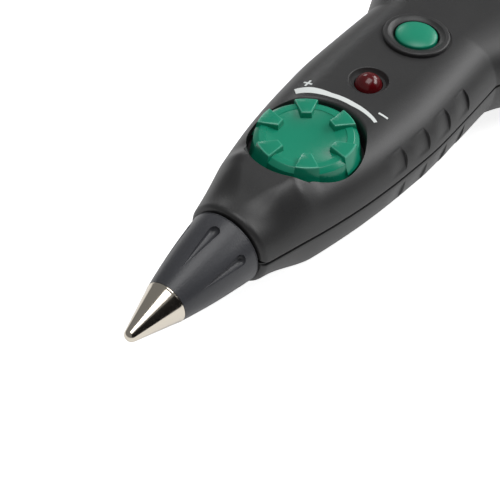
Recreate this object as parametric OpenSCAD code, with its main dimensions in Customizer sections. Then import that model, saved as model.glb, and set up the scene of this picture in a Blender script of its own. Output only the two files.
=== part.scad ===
// Receiver probe of a cable tracer: a long two-shell plastic wand with a metal pick-up tip,
// a turning volume knob, a lamp, a push button and a sliding battery door.
// X runs from the tip to the tail, Z is up, and the face with the controls looks up.

/* [Shells] */
// Width of the handle
handle_w = 46; // [44:0.5:50]
// Height of the crown of the handle above the nose axis
crown_h = 10.6; // [10.2:0.1:12]
// Depth of the handle below the nose axis
belly_h = 18.4; // [18.2:0.1:20]
// Length of the handle, from the waist to the tail
handle_l = 123; // [121:1:132]
// Length of the head, from its front ring to the waist
head_l = 67; // [66:0.5:72]
// Widest width of the head
head_w = 32.8; // [32.4:0.2:35]
// Width at the waist
waist_w = 31.6; // [31.2:0.2:32.4]
// Height of the flat face above the nose axis
face_h = 8.65; // [8.5:0.05:9.4]
// Depth of the head below the nose axis, at the waist
head_d = 9.6; // [9.4:0.1:10.4]
// Radius of the round front ring
ring_r = 8.3; // [8.2:0.1:9]
// Thickness of the shell walls
wall = 2.0; // [1.7:0.05:2.2]
// Length of the flare from the waist to the full handle width
flare_l = 28; // [26:1:34]
// Length of the rounded tail, seen from above
tail_round_l = 22; // [20:0.5:24]
// Depth of the groove along the parting line
groove_d = 0.35; // [0.2:0.05:0.5]
// Height of the groove along the parting line
groove_h = 0.3; // [0.2:0.05:0.5]

/* [Nose and tip] */
// Length of the metal tip that shows
tip_l = 10.7; // [9:0.1:13]
// Radius of the ball at the end of the tip
tip_ball_r = 1.33; // [1:0.01:1.6]
// Radius of the metal tip where it meets the nose cone
tip_base_r = 4.29; // [4.1:0.01:4.6]
// Length of the nose cone that shows
nose_l = 16.9; // [15:0.1:19]
// Radius of the nose cone at its rim
nose_rim_r = 7.55; // [7.3:0.05:7.8]
// Width of the dark gap between nose cone and shells
ring_gap = 0.4; // [0.3:0.1:0.8]
// Number of flutes around the nose cone
flute_n = 6; // [4:1:8]

/* [Volume knob] */
// Distance of the knob's axis from the front ring
knob_from_front = 24; // [23.6:0.1:25]
// Radius of the round recess that holds the knob
recess_r = 11.1; // [10.95:0.05:11.2]
// Largest radius of the knob
knob_r = 10.5; // [10.2:0.05:10.6]
// Radius of the knob at the tops of its lugs
knob_top_r = 9.73; // [9.4:0.01:9.9]
// Height of the lug tops above the flat face
knob_proud = 1.35; // [1:0.05:1.8]
// Number of lugs on the knob
lug_n = 6; // [5:1:7]
// Radius of the potentiometer shaft
shaft_r = 3.0; // [2.8:0.05:3.1]

/* [Lamp and button] */
// Distance of the lamp behind the knob's axis
led_from_knob = 19.5; // [18.8:0.1:20.4]
// Radius of the lamp
led_r = 2.5; // [2.3:0.05:2.6]
// Distance of the button behind the lamp
button_from_led = 17.5; // [17:0.1:18.4]
// Length of the button along the probe
button_l = 6.8; // [6.4:0.1:7.2]
// Width of the button across the probe
button_w = 10; // [9.4:0.1:10.6]
// How far the button can be pressed
button_travel = 0.5; // [0.4:0.05:0.6]
// Length of the raised collar along the probe
collar_l = 10.6; // [10.2:0.1:11.2]
// Width of the raised collar across the probe
collar_w = 15.6; // [15:0.1:16.4]

/* [Handle] */
// Room between the speaker and the battery bay
speaker_room = 6.6; // [6:0.1:8]
// Room between the speaker and the side of the handle
speaker_side = 9; // [8.8:0.1:10]
// Number of slots in the speaker grille
grille_n = 7; // [5:1:9]
// Radius of the headphone socket's bore
jack_bore_r = 1.85; // [1.8:0.01:2]
// Length of the battery case
battery_l = 46; // [44:0.5:47]
// Width of the battery case
battery_w = 26.5; // [25.5:0.5:27]
// Height of the battery case
battery_h = 17.5; // [16.5:0.5:17.5]
// Width of the battery door between its guides
door_w = 28.4; // [27.6:0.2:29]

/* [Hidden] */

// Shared clearances, overruns and fineness
over = 1;
run_gap = 0.05;
fit_gap = 0.1;
seat_gap = 0.3;
moulding_gap = 0.4;

// Shape of the shells and fineness of their outlines
valley_d = 0.55;
crown_l = 54;
tail_lift_l = 13;
ring_lip_r = 1.0;
top_flat_share = 0.4;
low_flat_share = 0.6;
round_exp = 2;
low_exp = 2.4;
tail_exp = 2.4;
tail_end_share = 0.916;
lip_n = 3;
head_n = 24;
flare_n = 8;
hand_n = 5;
tail_n = 7;
shoulder_n = 6;
inner_n = 12;

// Leads, and fineness of their routes
lead_r = 0.6;
lead_sides = 8;
lead_pair_y = 0.72;
lead_gap = 0.2;
lead_steps = 6;
lead_low_share = 0.28;
lead_high_share = 0.68;
route_fine = 5;

// Nose cone and its spigot in the front ring
nose_bulge = 0.25;
nose_n = 10;
nose_edge_r = 0.4;
spigot_r = 5.8;
spigot_l = 5;
collar_r = 6.8;
nose_groove_x = 1.5;
nose_groove_l = 1.2;
stud_r = 2;
flute_w = 1.9;
flute_d = 0.7;
flute_front_share = 0.225;
flute_back_share = 0.81;

// Solder tag and nut behind the spigot
tag_t = 0.5;
tag_r = 3.4;
tag_w = 2.4;
tag_l = 5.8;
nut_t = 2.2;
nut_r = 3.8;
stud_spare = 0.6;

// Main board, which follows the inside of the lower shell
board_drop = 4;
board_t = 1.6;
board_front = 12;
board_back = 5;
board_n = 20;

// Screw posts under the board
post_r = 2.4;
board_screw_r = 1;
board_screw_l = 3.6;
board_head_r = 2;
board_head_h = 1.2;

// Potentiometer under the knob
pot_w = 11;
pot_l = 12;
pot_h = 5.4;
shaft_blind = 3.5;

// The shaft stands in the potentiometer and carries the knob on its flat
recess_d = 5;
knob_lift = 0.4;
knob_cap = 2.9;
shaft_flat = 0.8;

// Knob with a drafted wall, a rim, a shallow dish and lugs
lug_h = 1.1;
lug_inner_r = 5.5;
lug_outer_w = 4.4;
lug_inner_w = 1.9;
lug_turn = 36;
rim_w = 1.3;
rim_fall = 0.15;
dish_d = 0.7;
dish_mid_share = 0.8;
dish_edge_share = 0.2;
knob_wall = 1.5;
hub_r = 4.6;
edge_r = 0.5;

// Lamp in its countersunk dish
led_proud = 1.0;
led_h = 8.6;
led_flange_r = 2.9;
led_flange_h = 1;
led_dish_r = 3.9;
led_dish_d = 0.9;
led_pin_r = 0.3;
led_pin_pitch = 2.54;

// Tactile switch and the button over it
switch_w = 6;
switch_h = 3.5;
plunger_r = 1.7;
plunger_out = 2.2;
plunger_in = 1.2;

// Button with its flange and stem, and the raised collar around it
oval_n = 40;
button_gap = 0.35;
button_proud = 0.5;
button_dome = 0.9;
button_flange_t = 1;
button_flange_w = 0.9;
button_stem_r = 2;
collar_h = 0.8;
dish_fall = 0.5;
collar_lip = 1.1;
dome_n = 5;

// Chip, its legs, capacitors and resistors on the board
chip_from_button = 10;
chip_l = 9.8;
chip_w = 6.4;
chip_h = 3.3;
chip_lift = 0.5;
leg_w = 0.5;
leg_t = 0.3;
leg_pitch = 2.54;
leg_n = 4;
can_r = 2.5;
can_h = 5.4;
can_gap = 1.2;
can_groove = 0.25;
can_edge_share = 0.16;
res_r = 1.1;
res_l = 6;
res_y = 6;
res_pitch = 4;
res_n = 3;

// Speaker under the grille, from its gasket down to its magnet
speaker_drop = 1.2;
speaker_ring_w = 2.4;
gasket_t = 0.8;
basket_rim_t = 0.9;
basket_h = 4.4;
basket_t = 0.8;
basket_low_share = 0.64;
magnet_share = 0.54;
magnet_h = 3;
basket_hole_r = 2;
cone_t = 0.4;
cone_h = 2.2;
cap_share = 0.26;
cap_h = 1;
cap_mid_share = 0.6;
cap_mid_h_share = 0.7;

// Headphone socket, hanging under the board with its nose in the side wall
jack_l = 13;
jack_w = 6.5;
jack_h = 5;
jack_nose_r = 2.5;
jack_nose_in = 0.6;

// Battery bay, from the bulkhead to the end stop
bulk_t = 1.3;
bay_wall_t = 1.6;
snap_t = 3.6;
terminal_h = 2.4;
terminal_r = 3.6;
terminal_pitch = 12.7;
terminal_shell_t = 0.6;
battery_edge_r = 1.5;
snap_w = 25;
snap_h = 12.4;

// Foam pad that holds the battery down
pad_l = 30;
pad_w = 16;

// Battery door and its guides
door_t = 2.2;
door_gap = 0.3;
tongue_w = 1.2;
rail_t = 1.6;
tongue_low = 1.0;
door_rise = 8.2;
door_grip_n = 5;
door_grip_w = 1;
door_grip_pitch = 2.4;
door_grip_back = 18;

// Screws that join the shells from below, and their bosses
boss_r = 3.2;
screw_r = 1.25;
screw_l = 12;
head_r = 2.4;
head_t = 1.8;
seat_drop = 7.4;
waist_boss_back = 4;
pilot_gap = 0.05;

// Grip scallops along both sides
scallop_n = 4;
scallop_from_waist = 12.6;
scallop_pitch = 7.1;
scallop_r = 1.6;
scallop_d = 0.55;
scallop_up = 2.6;
scallop_h = 6.5;
scallop_tilt = 10;
scallop_low = 2.2;
scallop_low_h = 6;

// Upper shell with its recess, dish, collar and grille
recess_lip_r = 0.8;
lip_fine = 5;
cup_t = 1.6;
rib_t = 1.4;
rib_share = 0.25;
pad_t = 2.5;
grille_r_share = 0.8;
grille_slot_w = 1.6;
grille_spread_share = 0.97;

// What stands inside the lower shell and is left out of its hollow
slot_w = 4;
slot_h = 3;
board_rib_front_share = 0.14;
board_rib_back_share = 0.55;

// Fineness of every round
$fn = 64;

// Stations along the probe, from the tip to the tail
overall_l = tip_l + nose_l + ring_gap + head_l + handle_l;
tip_x = -overall_l / 2;
nose_x = tip_x + tip_l;
rim_x = nose_x + nose_l;
front_x = rim_x + ring_gap;
waist_x = front_x + head_l;
tail_x = waist_x + handle_l;
axis_z = belly_h;
knob_x = front_x + knob_from_front;
led_x = knob_x + led_from_knob;
button_x = led_x + button_from_led;
bay_l = bulk_t + moulding_gap + snap_t + battery_l + fit_gap + tail_lift_l;
bulkhead_x = tail_x - bay_l;
speaker_r = handle_w / 2 - speaker_side;
speaker_x = bulkhead_x - speaker_room - speaker_r;

// Places of the screws that join the shells, and the bosses around them
seat_z = axis_z - seat_drop;
counter_r = head_r + seat_gap;
low_boss_r = counter_r + bay_wall_t;
waist_boss_x = waist_x + waist_boss_back;
waist_boss_y = waist_w / 2 - wall - boss_r + screw_r;
hand_boss_x = bulkhead_x + bulk_t / 2 - low_boss_r;
hand_boss_y = handle_w / 2 - wall - low_boss_r;
boss_places = [for (s = [-1, 1]) each [[waist_boss_x, s * waist_boss_y], [hand_boss_x, s * hand_boss_y]]];

// Shape of the shells. Each table pairs a share of the way along with a share of the change.
widen_shares = [[0, 0], [0.115, 0.26], [0.248, 0.549], [0.391, 0.778], [0.534, 0.918], [0.69, 1], [1, 1]];
narrow_shares = [[0, 0], [0.69, 0], [0.845, 0.35], [1, 1]];
rise_shares = [[0, 0], [0.1, 0.3], [0.185, 1], [1, 1]];
valley_shares = [[0, 0], [0.03, 0.2], [0.09, 1], [0.15, 0.55], [0.185, 0], [1, 0]];
keel_shares = [[0, 0], [0.12, 0.35], [0.4, 0.62], [1, 1]];
flare_shares = [[0, 0], [0.37, 0.57], [0.71, 0.9], [1, 1]];
belly_shares = [[0, 0], [0.25, 0.12], [0.6, 0.68], [0.85, 0.96], [1, 1]];
crown_shares = [[0, 0], [0.5, 0.5], [1, 1]];
flat_shares = [[0, 0.03], [0.03, 0.05], [0.185, 1], [1, 1]];

// Smooth curve through a table of pairs, with level ends where the table turns
function seg(t, x, i = 0) = i >= len(t) - 2 || x < t[i + 1][0] ? i : seg(t, x, i + 1);
function rate(t, i) = (t[i + 1][1] - t[i][1]) / (t[i + 1][0] - t[i][0]);
function both(a, b) = a * b <= 0 ? 0 : 2 * a * b / (a + b);
function slope(t, i) =
    i == 0 ? rate(t, 0)
    : i == len(t) - 1 ? rate(t, i - 1)
    : both(rate(t, i - 1), rate(t, i));
function curve(t, x) =
    let (i = seg(t, x), h = t[i + 1][0] - t[i][0], u = clamp01((x - t[i][0]) / h))
    t[i][1] * (1 + 2 * u) * (1 - u) ^ 2 + t[i + 1][1] * u ^ 2 * (3 - 2 * u)
    + h * (slope(t, i) * u * (1 - u) ^ 2 - slope(t, i + 1) * u ^ 2 * (1 - u));
function clamp01(v) = min(max(v, 0), 1);
function mix(a, b, u) = a + (b - a) * u;

// Shares of the way along the head, the flare and the crown
function head_s(x) = clamp01((x - front_x) / head_l);
function flare_s(x) = clamp01((x - waist_x) / flare_l);
function crown_s(x) = clamp01((x - waist_x) / crown_l);

// How much the rounded tail and the lip of the front ring take off
function tail_u(x, l) = clamp01((x - tail_x + l) / l) * tail_end_share;
function tail_k(x, l) = (1 - tail_u(x, l) ^ tail_exp) ^ (1 / tail_exp);
function lip_cut(x) =
    let (d = x - front_x)
    d >= ring_lip_r ? 0 : ring_lip_r - sqrt(ring_lip_r ^ 2 - (ring_lip_r - max(d, 0)) ^ 2);

// Half width, height above and depth below the axis at a place along the probe.
// The inset q gives the inner wall.
function head_half_w(s) =
    ring_r + (head_w / 2 - ring_r) * curve(widen_shares, s)
    - (head_w - waist_w) / 2 * curve(narrow_shares, s);
function half_w(x, q = 0) =
    let (w = head_half_w(head_s(x)) + (handle_w - waist_w) / 2 * curve(flare_shares, flare_s(x)))
    w * tail_k(x + q, tail_round_l) - lip_cut(x) - q;
function top_h(x, q = 0) =
    let (s = head_s(x), h = mix(ring_r, face_h, curve(rise_shares, s)) - valley_d * curve(valley_shares, s))
    (h + (crown_h - face_h) * curve(crown_shares, crown_s(x))) * tail_k(x + q, tail_lift_l)
    - lip_cut(x) - q;
function low_h(x, q = 0) =
    let (h = mix(ring_r, head_d, curve(keel_shares, head_s(x))))
    (h + (belly_h - head_d) * curve(belly_shares, flare_s(x))) * tail_k(x + q, tail_lift_l)
    - lip_cut(x) - q;

// Half width at a depth below the axis, inside the lower shell
function low_half_at(x, d, q) =
    let (g = curve(flat_shares, head_s(x)), w = half_w(x, q), f = w * low_flat_share * g,
        n = mix(round_exp, low_exp, g), v = min(d / low_h(x, q), 1))
    f + (w - f) * (1 - v ^ n) ^ (1 / n);

// One shoulder, from the side at the parting line to the edge of the flat
function shoulder(w, h, f, n) =
    [for (i = [0:shoulder_n])
        let (a = 90 * i / shoulder_n)
        [f + (w - f) * cos(a) ^ (2 / n), h * sin(a) ^ (2 / n)]];
function turned(p) = [for (i = [len(p) - 1:-1:0]) p[i]];
function mirrored(p) = [for (i = [len(p) - 1:-1:0]) [-p[i][0], p[i][1]]];
function with_x(x, p) = [for (q = p) [x, q[0], axis_z + q[1]]];
function top_shoulder(x, q) =
    let (w = half_w(x, q), f = w * top_flat_share * curve(flat_shares, head_s(x)))
    shoulder(w, top_h(x, q), f, round_exp);
function low_shoulder(x, q) =
    let (g = curve(flat_shares, head_s(x)), w = half_w(x, q), f = w * low_flat_share * g,
        p = shoulder(w, low_h(x, q), f, mix(round_exp, low_exp, g)))
    [for (v = p) [v[0], -v[1]]];

// Closed outlines of the outer halves and of the hollow inside them
function top_outer(x) =
    let (p = top_shoulder(x, 0), w = p[0][0],
        rim = [[w - groove_d, 0], [w - groove_d, groove_h], [w, 2 * groove_h]],
        rest = [for (i = [1:shoulder_n]) p[i]], side = concat(rim, rest))
    with_x(x, concat(side, mirrored(side)));
function low_outer(x) =
    let (p = low_shoulder(x, 0))
    with_x(x, turned(concat(p, mirrored(p))));
function top_inner(x) =
    let (p = top_shoulder(x, wall), side = concat([[p[0][0], -over]], p))
    with_x(x, concat(side, mirrored(side)));
function low_inner(x) =
    let (p = low_shoulder(x, wall), side = concat([[p[0][0], over]], p))
    with_x(x, turned(concat(side, mirrored(side))));

// Places of the outlines along the probe
lip_xs = [for (i = [0:lip_n]) front_x + ring_lip_r * (1 - cos(90 * i / lip_n))];
head_xs = [for (i = [1:head_n]) mix(front_x + ring_lip_r, waist_x, i / head_n)];
flare_xs = [for (i = [1:flare_n]) waist_x + flare_l * i / flare_n];
hand_xs = [for (i = [1:hand_n]) mix(waist_x + flare_l, tail_x - tail_round_l, i / hand_n)];
tail_xs = [for (i = [1:tail_n]) tail_x - tail_round_l * (1 - sin(90 * i / tail_n))];
outer_xs = concat(lip_xs, head_xs, flare_xs, hand_xs, tail_xs);
hollow_x = front_x + nose_groove_x + nose_groove_l + wall;
inner_head_xs = [for (i = [0:inner_n]) mix(hollow_x, waist_x, i / inner_n)];
inner_tail_xs = [for (x = tail_xs) x - wall];
inner_hand_xs = [for (x = hand_xs) x - wall];
inner_xs = concat(inner_head_xs, flare_xs, inner_hand_xs, inner_tail_xs);

// End face of a loft in pairs of triangles, from a first point and a direction around
function cap(k, d, m) =
    [for (j = [0:m / 2 - 2])
        let (a = k + d * j, b = a + d, e = k + d * (m - 1 - j), c = e - d)
        each [[a, b, c], [a, c, e]]];

// Solid through a list of outlines that all have as many points, an even number
module loft(rings) {
    n = len(rings);
    m = len(rings[0]);
    sides = [for (i = [0:n - 2], j = [0:m - 1])
        let (a = i * m + j, b = i * m + (j + 1) % m, c = a + m, d = b + m)
        each [[a, c, b], [b, c, d]]];
    first = cap(0, 1, m);
    last = cap(n * m - 1, -1, m);
    polyhedron([for (r = rings) each r], concat(sides, first, last), convexity = 6);
}

// Tube along a route, with eight sides
function unit(v) = v / norm(v);
function route_dir(p, i) =
    unit(i == 0 ? p[1] - p[0]
        : i == len(p) - 1 ? p[i] - p[i - 1]
        : unit(p[i + 1] - p[i]) + unit(p[i] - p[i - 1]));
function carry(v, d) = unit(v - d * (v * d));
function route_ups(p, i = 0, up = [0.1, 0.2, 1]) =
    i >= len(p) ? [] : let (u = carry(up, route_dir(p, i))) concat([u], route_ups(p, i + 1, u));
module lead(p, r = lead_r) {
    ups = route_ups(p);
    loft([for (i = [0:len(p) - 1])
        let (d = route_dir(p, i), u = ups[i], v = cross(d, u))
        [for (k = [lead_sides - 1:-1:0])
            let (a = 360 * k / lead_sides)
            p[i] + r * (cos(a) * u + sin(a) * v)]]);
}

// Smooth route through a few chosen points
function bend(p, i, u) =
    let (n = len(p), a = p[max(i - 1, 0)], b = p[i], c = p[i + 1], d = p[min(i + 2, n - 1)])
    b + ((c - a) * u + (2 * a - 5 * b + 4 * c - d) * u ^ 2 + (3 * b - a - 3 * c + d) * u ^ 3) / 2;
function smooth_route(p) =
    concat([for (i = [0:len(p) - 2], k = [0:route_fine - 1]) bend(p, i, k / route_fine)], [p[len(p) - 1]]);

// Cylinder that lies along the probe
module rod_x(x, l, r) {
    translate([x, 0, axis_z])
        rotate([0, 90, 0])
            cylinder(h = l, r = r);
}

// Nose cone and its spigot in the front ring
nose_bore_r = stud_r + fit_gap;

function nose_r(u) = mix(tip_base_r, nose_rim_r, u) + 4 * nose_bulge * u * (1 - u);
nose_curve = [for (i = [0:nose_n])
    [nose_l * i / nose_n - (i == nose_n ? nose_edge_r : 0), nose_r(i / nose_n)]];

module nose_cone() {
    collar_x0 = nose_l + ring_gap + nose_groove_x + fit_gap;
    collar_x1 = collar_x0 + nose_groove_l - 2 * fit_gap;
    end_x = nose_l + ring_gap + spigot_l;
    profile = concat([[0, nose_bore_r]], nose_curve,
        [[nose_l, nose_rim_r - nose_edge_r], [nose_l, spigot_r], [collar_x0, spigot_r],
            [collar_x0, collar_r], [collar_x1, collar_r], [collar_x1, spigot_r],
            [end_x, spigot_r], [end_x, nose_bore_r]]);
    color([0.2, 0.2, 0.21])
        difference() {
            translate([nose_x, 0, axis_z])
                rotate([0, 90, 0])
                    rotate([0, 0, 180])
                        rotate_extrude()
                            polygon([for (p = profile) [p[1], p[0]]]);
            for (i = [0:flute_n - 1])
                translate([nose_x, 0, axis_z])
                    rotate([360 / flute_n * i, 0, 0])
                        flute_cut();
        }
}

// Tapered flute, a slim cone laid into the skin of the nose cone with a ball at its deep end
module flute_cut() {
    x0 = nose_l * flute_front_share;
    x1 = nose_l * flute_back_share;
    z0 = nose_r(flute_front_share);
    z1 = nose_r(flute_back_share) - flute_d + flute_w / 2;
    tilt = atan2(z1 - z0, x1 - x0);
    l = norm([x1 - x0, z1 - z0]);
    translate([x0, 0, z0])
        rotate([0, 90 - tilt, 0])
            cylinder(h = l, r1 = 0, r2 = flute_w / 2);
    translate([x1, 0, z1])
        sphere(r = flute_w / 2);
}

module probe_tip() {
    ball_x = tip_ball_r;
    lean = asin((tip_base_r - tip_ball_r) / norm([tip_l - ball_x, tip_base_r - tip_ball_r]));
    ball_n = 8;
    ball = [for (i = [0:ball_n])
        let (a = 180 - (90 + lean) * i / ball_n)
        [ball_x + tip_ball_r * cos(a), tip_ball_r * sin(a)]];
    stud_end = tip_l + nose_l + ring_gap + spigot_l + tag_t + nut_t + stud_spare;
    profile = concat(ball, [[tip_l, tip_base_r], [tip_l, stud_r], [stud_end, stud_r], [stud_end, 0]]);
    color([0.85, 0.83, 0.78])
        translate([tip_x, 0, axis_z])
            rotate([0, 90, 0])
                rotate_extrude()
                    polygon([for (p = profile) [max(p[1], 0), p[0]]]);
}

// Solder tag and nut behind the spigot
tag_x = front_x + spigot_l;

module solder_tag() {
    color("gold")
        difference() {
            union() {
                rod_x(tag_x, tag_t, tag_r);
                translate([tag_x, -tag_w / 2, axis_z - tag_l])
                    cube([tag_t, tag_w, tag_l]);
            }
            rod_x(tag_x - over, tag_t + 2 * over, stud_r + run_gap);
        }
}

module tip_nut() {
    color("silver")
        difference() {
            translate([tag_x + tag_t, 0, axis_z])
                rotate([0, 90, 0])
                    cylinder(h = nut_t, r = nut_r, $fn = 6);
            rod_x(tag_x + tag_t - over, nut_t + 2 * over, stud_r + run_gap);
        }
}

// Main board, which follows the inside of the lower shell
board_top = axis_z - board_drop;
board_low = board_top - board_t;
board_x0 = front_x + board_front;
board_x1 = bulkhead_x - board_back;
function board_half(x) = low_half_at(x, board_drop + board_t, wall) - moulding_gap;

module main_board() {
    edge = [for (i = [0:board_n]) let (x = mix(board_x0, board_x1, i / board_n)) [x, board_half(x)]];
    other = [for (i = [board_n:-1:0]) [edge[i][0], -edge[i][1]]];
    color([0.1, 0.35, 0.18])
        difference() {
            translate([0, 0, board_low])
                linear_extrude(board_t)
                    polygon(concat(edge, other));
            for (p = boss_places)
                translate([p[0], p[1], board_low - over])
                    cylinder(h = board_t + 2 * over, r = low_boss_r + moulding_gap);
            for (x = post_xs)
                translate([x, 0, board_low - over])
                    cylinder(h = board_t + 2 * over, r = board_screw_r + fit_gap);
        }
}

// Screw posts under the board
front_post_x = button_x - switch_w / 2 - post_r - board_head_r - seat_gap;
back_post_x = button_x + chip_from_button + chip_l / 2 + post_r;
post_xs = [front_post_x, back_post_x];

module board_screws() {
    color("silver")
        for (x = post_xs)
            translate([x, 0, 0]) {
                translate([0, 0, board_top])
                    cylinder(h = board_head_h, r = board_head_r);
                translate([0, 0, board_top - board_screw_l])
                    cylinder(h = board_screw_l + board_head_h / 2, r = board_screw_r);
            }
}

// Potentiometer under the knob
module volume_pot() {
    color([0.35, 0.36, 0.38])
        difference() {
            translate([knob_x - pot_l / 2, -pot_w / 2, board_top])
                cube([pot_l, pot_w, pot_h]);
            translate([knob_x, 0, board_top + pot_h - shaft_blind])
                cylinder(h = shaft_blind + over, r = shaft_r + run_gap);
        }
}

// The shaft stands in the potentiometer and carries the knob on its flat
knob_floor = axis_z + face_h - recess_d;
knob_top = axis_z + face_h + knob_proud;
knob_low = knob_floor + knob_lift;
shaft_top = knob_top - knob_cap;

module shaft_form(gap, z0, z1) {
    difference() {
        translate([knob_x, 0, z0])
            cylinder(h = z1 - z0, r = shaft_r + gap);
        translate([knob_x + shaft_r - shaft_flat + gap, -shaft_r - over, knob_low + knob_lift])
            cube([shaft_r, 2 * (shaft_r + over), z1 - knob_low + over]);
    }
}

module pot_shaft() {
    color("silver")
        shaft_form(0, board_top + pot_h - shaft_blind + run_gap, shaft_top);
}

// Knob with a drafted wall, a rim, a shallow dish and lugs
module knob_wall_cone() {
    translate([knob_x, 0, knob_low])
        cylinder(h = knob_top - knob_low, r1 = knob_r, r2 = knob_top_r);
}

module knob_lug() {
    r1 = knob_r + over;
    polygon([[lug_inner_r, lug_inner_w / 2], [knob_top_r, lug_outer_w / 2], [r1, lug_outer_w / 2],
        [r1, -lug_outer_w / 2], [knob_top_r, -lug_outer_w / 2], [lug_inner_r, -lug_inner_w / 2]]);
}

module volume_knob() {
    h = knob_top - knob_low;
    rim_z = h - lug_h;
    rim_r = mix(knob_top_r, knob_r, lug_h / h);
    rim_in = rim_r - rim_w;
    cap_low = h - knob_cap;
    body = [[0, rim_z - dish_d], [rim_in / 2, rim_z - dish_d * dish_mid_share],
        [rim_in, rim_z - dish_d * dish_edge_share], [rim_in, rim_z],
        [rim_r - edge_r / 2, rim_z - rim_fall], [rim_r, rim_z - rim_fall - edge_r / 2],
        [knob_r, 0], [knob_r - knob_wall, 0], [knob_r - knob_wall, cap_low], [0, cap_low]];
    color([0.07, 0.47, 0.38])
        union() {
            translate([knob_x, 0, knob_low])
                rotate_extrude()
                    polygon(body);
            intersection() {
                knob_wall_cone();
                translate([knob_x, 0, knob_top - lug_h - dish_d])
                    for (i = [0:lug_n - 1])
                        rotate([0, 0, lug_turn + 360 / lug_n * i])
                            linear_extrude(lug_h + dish_d)
                                knob_lug();
            }
            difference() {
                translate([knob_x, 0, knob_low])
                    cylinder(h = cap_low + edge_r, r = hub_r);
                shaft_form(fit_gap / 2, knob_low - over, shaft_top);
            }
        }
}

// Lamp in its countersunk dish
led_tip = axis_z + face_h + led_proud;
led_low = led_tip - led_h;

module led_lamp() {
    color([0.35, 0.02, 0.04])
        translate([led_x, 0, 0]) {
            translate([0, 0, led_tip - led_r])
                sphere(r = led_r);
            translate([0, 0, led_low])
                cylinder(h = led_h - led_r, r = led_r);
            translate([0, 0, led_low])
                cylinder(h = led_flange_h, r = led_flange_r);
        }
}

module led_spacer() {
    color([0.12, 0.12, 0.12])
        difference() {
            translate([led_x, 0, board_top])
                cylinder(h = led_low - board_top, r = led_flange_r);
            for (s = [-1, 1])
                translate([led_x, s * led_pin_pitch / 2, board_top - over])
                    cylinder(h = led_low - board_top + 2 * over, r = led_pin_r + fit_gap);
        }
}

module led_leads() {
    color("silver")
        for (s = [-1, 1])
            translate([led_x, s * led_pin_pitch / 2, board_top])
                cylinder(h = led_low - board_top, r = led_pin_r);
}

// Tactile switch and the button over it
switch_top = board_top + switch_h;
plunger_top = switch_top + plunger_out;

module switch_body() {
    color([0.15, 0.15, 0.16])
        difference() {
            translate([button_x - switch_w / 2, -switch_w / 2, board_top])
                cube([switch_w, switch_w, switch_h]);
            translate([button_x, 0, switch_top - plunger_in - button_travel - seat_gap])
                cylinder(h = plunger_in + button_travel + seat_gap + over, r = plunger_r + run_gap);
        }
}

module switch_plunger() {
    color([0.3, 0.3, 0.3])
        translate([button_x, 0, switch_top - plunger_in])
            cylinder(h = plunger_in + plunger_out, r = plunger_r);
}

// Oval outline, as a share of a length along the probe and a width across it
function oval(l, w, grow = 0) =
    [for (i = [0:oval_n - 1])
        let (a = 360 * i / oval_n)
        [(l / 2 + grow) * cos(a), (w / 2 + grow) * sin(a)]];
function oval_ring(l, w, grow, z) = [for (p = oval(l, w, grow)) [button_x + p[0], p[1], z]];

collar_top = axis_z + face_h + collar_h;
button_top = collar_top + button_proud;
face_in = axis_z + face_h - wall;
flange_top = face_in - seat_gap;

module push_button() {
    edge_z = button_top - button_dome;
    color([0.1, 0.5, 0.42])
        union() {
            loft([for (k = [0:dome_n])
                let (a = 90 * k / (dome_n + 1), s = cos(a))
                oval_ring(button_l * s, button_w * s, 0, edge_z + button_dome * sin(a))]);
            translate([button_x, 0, flange_top - button_flange_t])
                linear_extrude(edge_z - flange_top + button_flange_t)
                    polygon(oval(button_l, button_w));
            translate([button_x, 0, flange_top - button_flange_t])
                linear_extrude(button_flange_t)
                    polygon(oval(button_l, button_w, button_flange_w));
            translate([button_x, 0, plunger_top])
                cylinder(h = flange_top - plunger_top, r = button_stem_r);
        }
}

// Chip, its legs, capacitors and resistors on the board
chip_x = button_x + chip_from_button;

module amplifier_chip() {
    notch_r = 0.9;
    color([0.08, 0.08, 0.09])
        difference() {
            translate([chip_x - chip_l / 2, -chip_w / 2, board_top + chip_lift])
                cube([chip_l, chip_w, chip_h]);
            translate([chip_x - chip_l / 2, 0, board_top + chip_lift + chip_h - leg_w])
                cylinder(h = leg_w + over, r = notch_r);
        }
}

module chip_legs() {
    color("silver")
        for (s = [-1, 1], i = [0:leg_n - 1])
            translate([chip_x + (i - (leg_n - 1) / 2) * leg_pitch, s * (chip_w + leg_t) / 2, board_top])
                translate([-leg_w / 2, -leg_t / 2, 0])
                    cube([leg_w, leg_t, chip_lift + chip_h / 2]);
}

can_x = knob_x + pot_l / 2 + can_gap + can_r;
can_places = [for (k = [-1:1]) [can_x, k * (2 * can_r + can_gap / 2)]];

module capacitors() {
    crimp = can_h * can_edge_share;
    profile = [[0, 0], [can_r, 0], [can_r, crimp], [can_r - can_groove, crimp + can_groove],
        [can_r, crimp + 2 * can_groove], [can_r, can_h - can_groove],
        [can_r - can_groove, can_h], [0, can_h]];
    color([0.15, 0.2, 0.4])
        for (p = can_places)
            translate([p[0], p[1], board_top])
                rotate_extrude()
                    polygon(profile);
}

module resistors() {
    color([0.75, 0.65, 0.45])
        for (s = [-1, 1], i = [0:res_n - 1])
            translate([led_x + led_flange_r + res_r + res_pitch * (i - 1), s * res_y, board_top + res_r])
                rotate([90 * s, 0, 0])
                    translate([0, 0, -res_l / 2])
                        cylinder(h = res_l, r = res_r);
}

// Speaker under the grille, from its gasket down to its magnet
speaker_seat = axis_z + top_h(speaker_x) - wall - speaker_drop;
gasket_low = speaker_seat - gasket_t;
basket_low = gasket_low - basket_h;
cone_edge_r = speaker_r - speaker_ring_w - basket_t;
basket_low_r = speaker_r * basket_low_share;

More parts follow.
